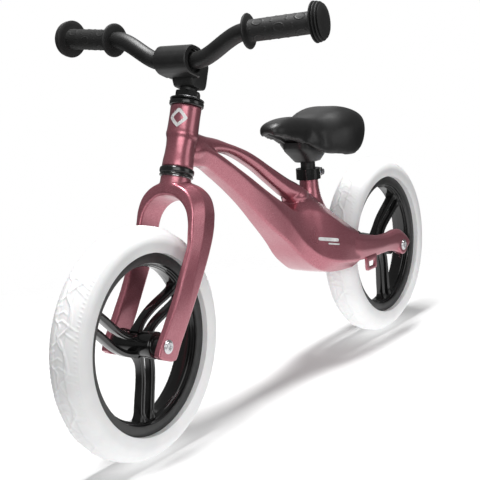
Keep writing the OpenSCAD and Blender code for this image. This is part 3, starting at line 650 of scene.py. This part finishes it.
wheelLook = dict(spokePairs=3, spokeWidth=8.0, spokeGap=19.0, swirl=28.0, frontFirst=31.0, rearFirst=18.0,
                 hubRadius=17.0, barrelRadius=95.0, lipRadius=112.5, tyreRadius=145.0, tyreWidth=53.6,
                 tyreHeight=32.5, treadHalf=8.0, tyreSteps=900, cells=17, ribHeight=1.15, leafWide=3.4)


def rimParts(hub, look):
    # Turned rings: satin face band, a stepped gloss barrel, and the hub with its ringed ends
    lip = look["lipRadius"]
    face = [[lip, 14.2], [lip, 16.3], [lip - 0.8, 16.6], [100.6, 16.6], [99.8, 16.2], [99.3, 14.8]]
    outer = [[99.3, 14.8], [98.6, 12.6], [97.9, 12.0], [97.4, 9.2], [96.4, 8.7], [95.8, 6.0], [95.0, 5.3]]
    barrel = outer + [[94.7, 0]] + [[r, -y] for r, y in outer[::-1]]
    bed = [[lip, -14.2], [107.2, -14.0], [107.2, 14.0], [lip, 14.2]]
    other = [[r, -y] for r, y in face[::-1]]
    origin = [hub[0], 0, hub[2]]
    out = [turned(np.array(line) * mm, origin, yAxis, 180, slot=s)
           for line, s in ((face, 0), (other, 0), (barrel, 1), (bed, 1))]
    hubProf = np.array([[8.2, 20], [11.05, 20], [11.05, 27.6], [12.2, 27.9], [12.7, 27.0], [14.2, 27.0],
                        [14.7, 28.0], [16.2, 28.0], [17.0, 27.2], [17.0, 24], [16.4, 20], [15.8, 12],
                        [15.8, 0]])
    whole = np.vstack([hubProf, (hubProf * [1, -1])[::-1][1:]]) * mm
    out.append(turned(whole, origin, yAxis, 96, closed=True, slot=1))
    return out


def spokeParts(hub, first, look):
    # Each blade: a ribbed ring carried along a curve that leaves the hub on its tangent,
    # its angle at radius r being first + asin(offset / r) - swirl (1 - t)^2
    w = look["spokeWidth"]
    hubR, rimR = look["hubRadius"] - 2.5, look["barrelRadius"] + 1.5
    t = np.linspace(0, 1, 48)
    r = hubR + (rimR - hubR) * t
    rib = np.array([[-1.0, -1.0], [-1.0, 0.0], [-1.0, 1.0], [-0.55, 1.0], [-0.3, 1.22], [0.0, 1.28],
                    [0.3, 1.22], [0.55, 1.0], [1.0, 1.0], [1.0, 0.0], [1.0, -1.0], [0.55, -1.0],
                    [0.3, -1.22], [0.0, -1.28], [-0.3, -1.22], [-0.55, -1.0]])
    out = []
    for k in range(look["spokePairs"]):
        for side in (1, -1):
            off = side * ((look["hubRadius"] - w / 2 - 2.5) * (1 - t) + look["spokeGap"] / 2 * t)
            base = math.radians(first + k * 360 / look["spokePairs"])
            a = base + np.arcsin(off / r) - math.radians(look["swirl"]) * (1 - t) ** 2
            centre = np.stack([r * np.cos(a), r * np.sin(a)], axis=1)
            run = np.gradient(centre, axis=0)
            run /= np.linalg.norm(run, axis=1, keepdims=True)
            across = np.stack([-run[:, 1], run[:, 0]], axis=1)
            nearRim = np.clip((t - 0.86) / 0.14, 0, 1) ** 2
            flare = 1 + 1.1 * nearRim + 0.35 * np.clip((0.16 - t) / 0.16, 0, 1) ** 2
            half = (w / 2) * flare
            deep = 4.6 + 1.6 * t + 1.8 * nearRim + 2.2 * np.clip((0.2 - t) / 0.2, 0, 1) ** 2
            xz = centre[:, None, :] + across[:, None, :] * (half[:, None] * rib[None, :, 0])[..., None]
            y = deep[:, None] * rib[None, :, 1]
            ring = np.stack([xz[..., 0], y, xz[..., 1]], axis=-1) * mm
            out.append(gridPart(rounded(ring, 0.7 * mm, steps=3) + [hub[0], 0, hub[2]], slot=1))
    return out


def tyrePart(hub, look):
    # Turned with a height map: wavy leaf lines s = A sin(u) + B, groups of slanting bars,
    # and a ring of short nibs on each shoulder; s is the angle round the section in degrees
    lip, top, half = look["lipRadius"], look["tyreRadius"], look["tyreWidth"] / 2
    mid = lip + look["tyreHeight"] / 3
    a = np.radians(np.linspace(118, -118, 84))
    r = mid + (top - mid) * np.cos(a)
    y = half * np.sin(a)
    flat = np.abs(y) < look["treadHalf"]
    r = np.where(flat, top - 0.9 * (np.abs(y) / look["treadHalf"]) ** 2, mid + (r - mid) * 1.05)
    r = np.minimum(r, top)
    u = circle(look["tyreSteps"])[:, None]
    s = np.degrees(a)[None, :]

    def ridge(phase, sharpness):
        return np.clip(np.cos(phase), 0, 1) ** sharpness

    turn = u * look["cells"]
    wide = look["leafWide"]
    inner = np.clip(1 - (np.abs(s) / 46) ** 8, 0, 1)
    leafA = np.exp(-((s - 15 - 15 * np.sin(turn) - 4 * np.sin(2 * turn + 1.1)) / wide) ** 2)
    leafB = np.exp(-((s + 17 - 13 * np.sin(turn + 2.1) - 4 * np.sin(3 * turn)) / wide) ** 2)
    leafC = np.exp(-((s - 24 * np.sin(turn / 2 + 0.6)) / 3.0) ** 2) * (0.5 + 0.5 * np.cos(turn * 1.5))
    group = np.clip(3 * np.sin(turn + 0.05 * s) - 0.6, 0, 1)
    bars = ridge(look["cells"] * 5 * u + np.where(s > 0, 1, -1) * s * 0.13, 2) * group
    nibs = ridge(look["cells"] * 9 * u + 0.12 * np.abs(s), 2) * np.exp(-((np.abs(s) - 50) / 3.6) ** 2)
    edge = np.exp(-((np.abs(s) - 58) / 2.0) ** 2)
    height = look["ribHeight"] * (np.maximum(np.maximum(leafA, leafB), leafC) * inner + 0.55 * bars * inner
                                  + 0.55 * nibs + 0.25 * edge)
    height = np.minimum(height, look["ribHeight"]) - look["ribHeight"]
    fade = np.clip((118 - np.abs(s)) / 22, 0, 1)
    bump = height * fade
    rr, yy = r + bump * np.cos(a), y + bump * np.sin(a)
    wall = putXZ(rr * np.cos(u), yy, rr * np.sin(u))
    heel = half - 8.2
    foot = np.array([[lip + 0.2, -heel], [lip - 0.2, -14.1], [107.3, -14.1], [107.3, 14.1],
                     [lip - 0.2, 14.1], [lip + 0.2, heel]])
    base = putXZ(foot[:, 0] * np.cos(u), foot[:, 1], foot[:, 0] * np.sin(u))
    return gridPart(np.concatenate([wall, base], axis=1) + [hub[0], 0, hub[2]], closeU=True)


for end, hub in (("front", frontHub), ("rear", rearHub)):
    first = wheelLook[end + "First"]
    rim = makePiece(end + "Wheel", rimParts(hub, wheelLook) + spokeParts(hub, first, wheelLook),
                    [rimSatin, rimGloss], sharp=30)
    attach(rim, end + "_wheel")
    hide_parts(end + "_rim")
    tyre = makePiece(end + "Tyre", [tyrePart(hub, wheelLook)], [foam], sharp=60)
    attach(tyre, end + "_wheel")
    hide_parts(end + "_tyre")
print("wheels made")

barLook = dict(radius=11.0, rise=30.0, ahead=9.0, reach=27.5, middle=358.7, straight=25.0, bendEnd=102.0,
               gripStart=108.0, gripLength=82.0, gripBack=10.5, gripUp=9.6)


def barCentre(y):
    # Level in the clamp, an S curve outwards, then straight through the grip
    b = barLook
    w = np.abs(y)
    t = np.clip((w - b["straight"]) / (b["bendEnd"] - b["straight"]), 0, 1)
    s = t * t * (3 - 2 * t)
    g = np.clip((w - b["bendEnd"]) / b["gripLength"], 0, None)
    return np.stack([b["reach"] + b["ahead"] * s - b["gripBack"] * g, y,
                     b["middle"] + b["rise"] * s + b["gripUp"] * g], axis=-1)


def tubeAlong(path, radius, around=40):
    # A circle carried square to the path
    run = np.gradient(path, axis=0)
    run /= np.linalg.norm(run, axis=1, keepdims=True)
    side = np.cross(run, [1.0, 0.0, 0.0])
    side /= np.linalg.norm(side, axis=1, keepdims=True)
    other = np.cross(run, side)
    a = circle(around)
    ring = (np.cos(a)[None, :, None] * side[:, None, :] + np.sin(a)[None, :, None] * other[:, None, :])
    return path[:, None, :] + radius * ring


barY = np.linspace(-193, 193, 150)
barPts = onSteering(tubeAlong(barCentre(barY), barLook["radius"]))
bar = makePiece("barTube", [gridPart(barPts)], [powder])
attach(bar, "handlebar")
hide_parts("handlebar")

gripLook = dict(radius=13.6, ovals=4, rows=3, lift=0.4, ovalWide=0.21, ovalLong=0.24)


def gripParts(side):
    # Turned about the grip's own line, with oval outlines and dots raised on its barrel
    b, g = barLook, gripLook
    ends = side * (b["gripStart"] + b["gripLength"] * np.array([0.0, 1.0]))
    p0, p1 = onSteering(barCentre(ends))
    run = np.linalg.norm(p1 - p0) / mm
    line = (p1 - p0) / np.linalg.norm(p1 - p0)

    def emboss(a, h):
        # Distance to the nearest oval centre on a staggered lattice, turned into a thin raised line
        t = h / mm / run
        row = np.floor(t * g["rows"])
        cellU = (a / (2 * np.pi) * g["ovals"] + 0.5 * (row % 2)) % 1.0 - 0.5
        cellV = (t * g["rows"]) % 1.0 - 0.5
        d = np.hypot(cellU / g["ovalWide"], cellV / g["ovalLong"])
        ring = np.exp(-((d - 1.0) / 0.13) ** 2)
        dots = np.exp(-(np.hypot(np.abs(cellU) - 0.42, np.abs(cellV) - 0.36) / 0.045) ** 2)
        inside = (t > 0.04) & (t < 0.96)
        return np.where(inside, (ring + dots) * g["lift"] * mm, 0)

    n = 200
    body = np.stack([np.full(n, g["radius"]), np.linspace(0.6, run - 0.4, n)], axis=1) * mm
    barrel = turned(body, p0, line, 240, bump=emboss)
    inner = np.array([[11.05, -5], [18, -5], [21.2, -4.4], [22, -3.2], [22, -2.4], [21.2, -1.4], [17, -0.6],
                      [14.4, 0.2], [13.6, 0.7]]) * mm
    rings = []
    for r0, h0 in ((25, 0.0), (24.4, 3.7), (23.4, 7.4)):
        rings += [[r0 - 5.5, h0], [r0 - 0.5, h0 + 0.2], [r0, h0 + 0.7], [r0, h0 + 1.2],
                  [r0 - 0.5, h0 + 1.7], [r0 - 5.5, h0 + 2.3]]
    end = np.array([[13.6, run - 0.5], [15, run - 0.2]] + [[r, run + h] for r, h in rings]
                   + [[18.5, run + 10.2], [21.0, run + 10.6], [21.3, run + 11.4], [19.8, run + 12.5],
                      [12, run + 13.6], [0, run + 13.9]]) * mm
    return [barrel, turned(inner, p0, line, 96), turned(end, p0, line, 96)]


for name, side in (("left", 1), ("right", -1)):
    grip = makePiece(name + "GripRubber", gripParts(side), [rubber], sharp=50)
    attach(grip, "handlebar")
    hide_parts(name + "_grip", name + "_grip_cap")

stemLook = dict(shellHalf=25.0, coreHalf=20.5, blockHalf=16.0)
shellLine = np.array([[-13, -14.5], [-11.5, -18.3], [-2, -18.6], [8, -18.6], [16.5, -15.4], [22, -9.4],
                      [24.3, -1.2], [22.8, 7.0], [18, 13.8], [11, 17.8], [1, 18.6], [-8, 18.4], [-12, 15],
                      [-13, 8]])


def prismPart(outline, y0, y1, ease):
    # An outline in [ahead, up] carried across the bike, its ends eased in by a small bevel
    o = rounded(outline, 3.0, steps=5)
    middle = o.mean(axis=0)
    ys = np.array([y0, y0 + ease * 0.3, y0 + ease, y1 - ease, y1 - ease * 0.3, y1])
    inset = np.array([ease, ease * 0.3, 0, 0, ease * 0.3, ease])
    out = o - middle
    size = np.linalg.norm(out, axis=1, keepdims=True)
    grid = middle + out[None] * (1 - inset[:, None, None] / size[None])
    pts = np.stack([grid[..., 0], np.broadcast_to(ys[:, None], grid.shape[:2]), grid[..., 1]], axis=-1)
    return gridPart(onSteering(pts))


def shellPart(look):
    # The front shell: outer line and a round mouth about the bar, carried across, as one closed band
    o = rounded(shellLine, 3.0, steps=8)
    a = np.arctan2(o[:, 1], o[:, 0])
    mouth = np.stack([15.2 * np.cos(a), 15.2 * np.sin(a)], axis=1)
    h = look["shellHalf"]
    rows = [(o, -h, 1.2), (o, -h + 1.2, 0.0), (o, h - 1.2, 0.0), (o, h, 1.2),
            (mouth, h, -1.0), (mouth, h - 1.2, 0), (mouth, -h + 1.2, 0), (mouth, -h, -1.0)]
    grid = []
    for line, y, inset in rows:
        size = np.linalg.norm(line, axis=1, keepdims=True)
        q = line * (1 - inset / size) + [barLook["reach"], barLook["middle"]]
        grid.append(np.stack([q[:, 0], np.full(len(q), y), q[:, 1]], axis=1))
    return gridPart(onSteering(np.stack(grid, axis=1)), closeU=True)


coreLine = shellLine * 0.86 + [barLook["reach"] - 1.0, barLook["middle"]]
blockLine = [[12, 330.3], [18, 338], [18, 370], [4, 372.4], [-9, 371], [-15.5, 364], [-16, 338], [-14, 332],
             [-9, 330.3]]
quillProf = np.array([[0, 225], [11.1, 225], [11.1, 334], [0, 334]]) * mm
coreHalf, blockHalf = stemLook["coreHalf"], stemLook["blockHalf"]
stemParts = [shellPart(stemLook), prismPart(coreLine, -coreHalf, coreHalf, 1.0),
             prismPart(blockLine, -blockHalf, blockHalf, 2.2), turned(quillProf, axisFoot, axisUp, 64)]
stemPiece = makePiece("stemShell", stemParts, [stemCoat], sharp=32)
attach(stemPiece, "handlebar")
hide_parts("stem", "stem_clamp_cap")
print("bar, grips and stem made")

saddleLook = dict(
    nose=1.0, length=217.0, start=1.5, cap=3.0, voxel=0.0032, pressure=4.0, frames=20,
    quality=6, relax=9, panShare=0.70, panIn=2.0, panUp=6.0,
    # share along: half width, top z, skirt z
    rings=[[0.0, 5, 373, 363.5], [0.012, 12.5, 378, 362.5], [0.04, 18, 382, 361],
           [0.10, 21.5, 384.5, 357.5], [0.2, 24, 385, 350.5], [0.29, 26.5, 382.5, 344],
           [0.40, 32, 379, 332], [0.49, 39, 377, 324], [0.57, 48, 379, 319.5], [0.65, 56, 383.5, 316],
           [0.74, 61, 388, 315.5], [0.82, 62, 389, 322], [0.9, 57, 385, 335], [0.96, 44, 377, 347],
           [0.99, 28, 369, 354], [1.0, 6, 363, 358]])
# underside of a ring: [share of half width, share of the depth below the waist]
skirtLine = np.array([[1.0, 0.0], [0.995, 0.3], [0.975, 0.6], [0.95, 0.85], [0.925, 1.0], [0.87, 1.03],
                      [0.80, 0.95], [0.74, 0.75], [0.66, 0.5], [0.45, 0.4], [0.2, 0.38], [0.0, 0.38]])


def saddlePart(look, inset):
    # Rings along x: a full crown, |y/w|^2.35 + |z/h|^2.35 = 1, over a skirt with a hollow underside
    table = np.array(look["rings"])
    u = np.concatenate([np.linspace(0, 0.08, 14)[:-1], np.linspace(0.08, 0.9, 44)[:-1],
                        np.linspace(0.9, 1, 18)])
    half, top, low = along(table[:, 0], table[:, 1:], u).T
    half = np.maximum(half - inset, 1.0)
    top, low = top - inset, low + inset * 0.4
    waist = low + (top - low) * 0.45
    t = np.linspace(0, np.pi, 33)
    power = 2 / 2.35
    crownY = squarish(np.cos(t), power)
    crownZ = np.abs(np.sin(t)) ** power
    under = np.vstack([skirtLine[1:] * [-1, -1], (skirtLine * [1, -1])[::-1][1:-1]])
    y = half[:, None] * np.concatenate([crownY, under[:, 0]])
    rise = (top - waist)[:, None] * crownZ
    drop = (waist - low)[:, None] * under[:, 1]
    z = waist[:, None] + np.concatenate([rise, drop], axis=1)
    # the middle of the crown dips a little towards the rear
    dip = 1.2 * np.exp(-(y / 16.0) ** 2) * np.clip((u[:, None] - 0.35) / 0.3, 0, 1) * (z > waist[:, None])
    x = look["nose"] - inset - (look["length"] - 2 * inset) * u
    return gridPart(putXZ(x[:, None], y, z - dip))


cushion = makePiece("saddleSkin", [saddlePart(saddleLook, saddleLook["start"])], [vinyl], sharp=None)


def swell(obj, look):
    # Pressure fills the skin like a stuffed cover, held within a few millimetres of its start
    voxelShell(obj, look["voxel"])
    applyAll(obj)
    before = points(obj).copy()
    cloth = obj.modifiers.new("cloth", "CLOTH")
    cs = cloth.settings
    cs.use_pressure = True
    cs.uniform_pressure_force = look["pressure"]
    cs.effector_weights.gravity = 0
    cs.quality = look["quality"]
    scene.frame_start, scene.frame_end = 1, look["frames"]
    for f in range(1, look["frames"] + 1):
        scene.frame_set(f)
    applyAll(obj)
    after = points(obj)
    move = after - before
    size = np.linalg.norm(move, axis=1, keepdims=True)
    cap = look["cap"] * mm
    after = before + move * np.minimum(1, cap / np.maximum(size, 1e-9))
    setPoints(obj, after)
    scene.frame_set(1)
    smoothing(obj, look["relax"])
    sub = obj.modifiers.new("fine", "SUBSURF")
    sub.levels = sub.render_levels = 1
    applyAll(obj)


swell(cushion, saddleLook)
recoat(cushion, vinyl)
finishShade(cushion, None)
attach(cushion, "saddle")
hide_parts("saddle_cover")


def panPart(look):
    # The moulded pan under the skin: a narrower plan, its rim rounded
    table = np.array(look["rings"])
    u = np.linspace(0.10, 0.90, 60)
    half, top, low = along(table[:, 0], table[:, 1:], u).T
    half = half * look["panShare"] - look["panIn"]
    low = low + look["panUp"]
    edge = np.array([[-1, 0.0], [-1, 8], [-0.8, 10], [0.8, 10], [1, 8], [1, 0.0], [0.86, -2.2], [0.7, -2.6],
                     [0.62, 1.5], [-0.62, 1.5], [-0.7, -2.6], [-0.86, -2.2]])
    x = look["nose"] - look["length"] * u
    y = half[:, None] * edge[None, :, 0]
    z = low[:, None] + edge[None, :, 1]
    return gridPart(rounded(putXZ(x[:, None], y, z), 0.9 * mm, steps=3))


pan = makePiece("saddlePan", [panPart(saddleLook)], [panPlastic], sharp=45)
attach(pan, "saddle")
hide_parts("saddle_base")


def bracketPart():
    # The trapezoid block that takes the post: a rounded rectangle that widens upward
    seat = centreOf("seat_post")[0] / mm
    z = np.array([311.5, 312, 314, 328, 333, 336, 344])
    lenX = np.array([17, 18.5, 20, 36, 40, 41, 41])
    lenY = np.array([14, 15.5, 17, 23, 24, 24, 24])
    a = circle(64)
    cx, cy = squarish(np.cos(a), 0.5), squarish(np.sin(a), 0.5)
    return gridPart(putXZ(seat + lenX[:, None] * cx, lenY[:, None] * cy, z[:, None]))


bracket = makePiece("saddleBracket", [bracketPart()], [panPlastic], sharp=45)
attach(bracket, "saddle")
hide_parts("saddle_bracket")
print("saddle made")

# Turned about the steering axis, [radius, up the axis] in millimetres
headsetLook = dict(
    lowerCup=[[17, 214.6], [21.0, 214.6], [21.6, 215.2], [21.6, 216.6], [21.0, 217.4], [20.6, 218.2],
              [21.4, 219.0], [22.2, 220.2], [22.2, 224.0], [21.6, 225.2], [20.4, 226], [17, 226]],
    upperCup=[[17, 306.6], [20.4, 306.6], [21.6, 307.2], [22.2, 308.4], [22.2, 312.2], [21.5, 313.2],
              [20.6, 313.6], [17, 313.6]],
    topRace=[[13.4, 314.1], [20.8, 314.1], [22.0, 314.7], [22.2, 315.6], [21.5, 316.6], [18.4, 317.2],
             [16.4, 317.3], [13.4, 317.3]])


def hexPart(flat, z0, z1, bore):
    # A nut: radius to a flat side is flat / cos(angle to it), its corners eased top and bottom
    a = circle(96)
    off = (a + np.pi / 6) % (np.pi / 3) - np.pi / 6
    edge = flat / np.cos(off)
    cone = np.minimum(edge, flat * 1.085)
    hole = np.full(len(a), bore)
    rows = [(hole, z0), (cone, z0), (edge, z0 + 0.9), (edge, z1 - 0.9), (cone, z1), (hole, z1)]
    grid = np.stack([np.stack([r * np.cos(a), r * np.sin(a), np.full_like(a, z)], axis=1)
                     for r, z in rows], axis=1)
    return gridPart(onSteering(grid), closeU=True)


def headsetPiece(name, parts, body, nodes):
    obj = makePiece(name, parts, [anodised], sharp=40)
    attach(obj, body)
    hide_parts(*nodes)


for key, body, node in (("lowerCup", "frame", "headset_lower_cup"),
                        ("upperCup", "frame", "headset_upper_cup"),
                        ("topRace", "fork", "headset_top_race")):
    prof = rounded(headsetLook[key], 0.35, steps=3) * mm
    headsetPiece(key, [turned(prof, axisFoot, axisUp, 96, closed=True)], body, [node])
headsetPiece("lockNut", [hexPart(15.0, 318.3, 325.8, 12.8)], "fork", ["lock_nut"])
print("headset made")

# Screw head and washer on each side, [radius, out from the blade face] in millimetres
capLine = [[0, -12], [2.9, -12], [2.9, 0.02], [8.6, 0.02], [8.8, 0.3], [8.5, 0.9], [7.2, 1.0],
           [7.0, 1.7], [6.4, 2.2], [5.2, 2.5], [4.6, 2.45], [4.3, 2.1], [3.9, 2.4], [3.3, 2.4],
           [3.1, 2.2], [3.0, 0.9], [0, 0.9]]
for end, hub, face, body in (("front", frontHub, 46.0, "fork"), ("rear", rearHub, 51.5, "frame")):
    caps = []
    for side in (1, -1):
        prof = rounded(capLine, 0.2, closed=False, steps=3) * mm
        caps.append(turned(prof, [hub[0], side * face * mm, hub[2]], side * yAxis, 64))
    cap = makePiece(end + "AxleCaps", caps, [zinc], sharp=40)
    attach(cap, body)
    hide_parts(end + "_axle_screws", end + "_axle_washers")
print("axle caps made")

# Two plain stripes laid on the body's left and right sides: [x, z, length, height] in millimetres
stripeLook = dict(lean=13, outside=80.0, lift=0.2, stripes=[[-91, 197.5, 44, 5.2], [-101, 188.8, 26, 2.4]])
lean = math.radians(stripeLook["lean"])
for name, side in (("left", 1), ("right", -1)):
    bands = []
    for x, z, long, high in stripeLook["stripes"]:
        a = circle(48)
        out = np.stack([long / 2 * squarish(np.cos(a), 0.25), high / 2 * squarish(np.sin(a), 0.45)], axis=1)
        share = np.linspace(1, 0.02, 6)[None, :, None]
        q = out[:, None, :] * share
        grid = putXZ(x + q[..., 0] * math.cos(lean) - q[..., 1] * math.sin(lean),
                     side * stripeLook["outside"],
                     z + q[..., 0] * math.sin(lean) + q[..., 1] * math.cos(lean))
        bands.append(gridPart(grid, closeU=True, closeV=False))
    mark = makePiece(name + "Stripes", bands, [decalWhite], sharp=None)
    wrap = mark.modifiers.new("wrap", "SHRINKWRAP")
    wrap.target = castFrame
    wrap.wrap_method = "PROJECT"
    wrap.use_project_x = wrap.use_project_z = False
    wrap.use_project_y = True
    wrap.use_negative_direction = side > 0
    wrap.use_positive_direction = side < 0
    wrap.offset = stripeLook["lift"] * mm
    applyAll(mark)
    finishShade(mark, None)
    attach(mark, "frame")

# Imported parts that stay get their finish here
finishOf = [
    (anodised, ["seat_clamp_collar", "stem_clamp_screws", "saddle_screws"]),
    (powder, ["steerer_tube", "seat_post", "front_shields", "rear_shields", "front_axle_spacers",
              "rear_axle_spacers"]),
    (zinc, ["seat_clamp_bolt", "seat_clamp_nut", "rear_axle", "rear_axle_sleeve", "front_axle",
            "front_axle_sleeve", "lock_washer", "expander_bolt", "expander_wedge"]),
    (chrome, ["rear_inner_races", "crown_race", "headset_lower_balls", "headset_upper_balls",
              "front_inner_races", "front_outer_races", "front_balls", "rear_outer_races", "rear_balls"]),
]
for mat, names in finishOf:
    for n in names:
        recoat(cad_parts[n], mat)
print("packed parts finished")

# The near and far floor levels below set a glow that only reflection and bounce rays meet: painted light
# and painted reflection
studio = dict(floor=9.0, floorTone=0.74, floorGlow=0.12, fadeStart=0.45, fadeEnd=0.95, nearGlow=1.15,
              farGlow=0.08, dimStart=0.45, dimEnd=0.95, skyLight=0.16, top=64.0, front=43.0, side=3.2,
              rim=2.2)


def floorPart():
    # A square a hair under the tyres
    e, z = studio["floor"], -0.0002
    return np.array([[-e, -e, z], [e, -e, z], [e, e, z], [-e, e, z]]), [[0, 1, 2, 3]], 0


floorMat, tree, shader, where = newMaterial("studioFloor", Roughness=0.75, Specular_IOR_Level=0.2)
tone = studio["floorTone"]
tree.links.new(ramp(tree, noise(tree, where, 2.0), [(0.3, grey(tone)), (0.7, grey(tone + 0.02))]),
               shader.inputs["Base Color"])
shader.inputs["Emission Color"].default_value = (1, 1, 1, 1)
shader.inputs["Emission Strength"].default_value = studio["floorGlow"]
distance = addNode(tree, "VectorMath", operation="LENGTH")
tree.links.new(where, distance.inputs[0])
far = distance.outputs["Value"]
fade = mapRange(tree, far, studio["fadeStart"], studio["fadeEnd"], 1.0, 0.0)
tree.links.new(fade, shader.inputs["Alpha"])
# every ray but the camera's meets a glowing floor: painted light and painted reflection, bright under the
# bike and dim further out
paintedGlowLevel = mapRange(tree, far, studio["dimStart"], studio["dimEnd"], studio["nearGlow"], studio["farGlow"])
paintedFloorGlow = addNode(tree, "Emission")
tree.links.new(paintedGlowLevel, paintedFloorGlow.inputs["Color"])
splitByCamera(tree, paintedFloorGlow, shader, "Material Output")
floor = makePiece("studioFloorPlane", [floorPart()], [floorMat])


def areaLight(name, place, target, sizeX, sizeY, power):
    lamp = bpy.data.lights.new(name, "AREA")
    lamp.shape = "RECTANGLE"
    lamp.size, lamp.size_y, lamp.energy = sizeX, sizeY, power
    obj = addObject(name, lamp)
    obj.location = place
    obj.rotation_euler = (Vector(target) - Vector(place)).to_track_quat("-Z", "Y").to_euler()
    obj.visible_camera = False
    return obj


top = areaLight("topLight", (0.05, -0.02, 2.2), (0.05, -0.02, 0.2), 1.5, 0.28, studio["top"])
top.rotation_euler = (0, 0, 0)  # straight down, its long side along the bike
areaLight("frontLight", (2.6, 1.7, 1.35), (0.1, 0, 0.2), 2.4, 2.0, studio["front"])
areaLight("sideLight", (-0.3, 1.6, 0.55), (0.2, 0, 0.25), 0.8, 0.9, studio["side"])
areaLight("rimLight", (-1.8, -1.4, 1.5), (0, 0, 0.3), 1.2, 1.0, studio["rim"])

world = bpy.data.worlds.new("studioWorld")
scene.world = world
world.use_nodes = True
wt = world.node_tree
sky = wt.nodes["Background"]
sky.inputs["Color"].default_value = (1, 1, 1, 1)
sky.inputs["Strength"].default_value = studio["skyLight"]
seen = addNode(wt, "Background", {"Color": (1, 1, 1, 1), "Strength": 1.0})
splitByCamera(wt, sky, seen, "World Output")

view = dict(place=(1.3774, 0.87971, 0.51737), yaw=214.21, pitch=-10.46, roll=-4.07, lens=86.53)
cam = bpy.data.cameras.new("camera")
cam.lens = view["lens"]
cam.sensor_width = 36
camObj = addObject("camera", cam)
yaw, pitch, roll = (math.radians(view[k]) for k in ("yaw", "pitch", "roll"))
aim = Vector((math.cos(pitch) * math.cos(yaw), math.cos(pitch) * math.sin(yaw), math.sin(pitch)))
level = aim.cross(Vector((0, 0, 1))).normalized()
lift = level.cross(aim)
right = math.cos(roll) * level + math.sin(roll) * lift
upward = -math.sin(roll) * level + math.cos(roll) * lift
facing = Matrix((right, upward, -aim)).transposed()
camObj.matrix_world = Matrix.Translation(view["place"]) @ facing.to_4x4()
scene.camera = camObj
print("floor, lights and camera set")

low, high = cadBox
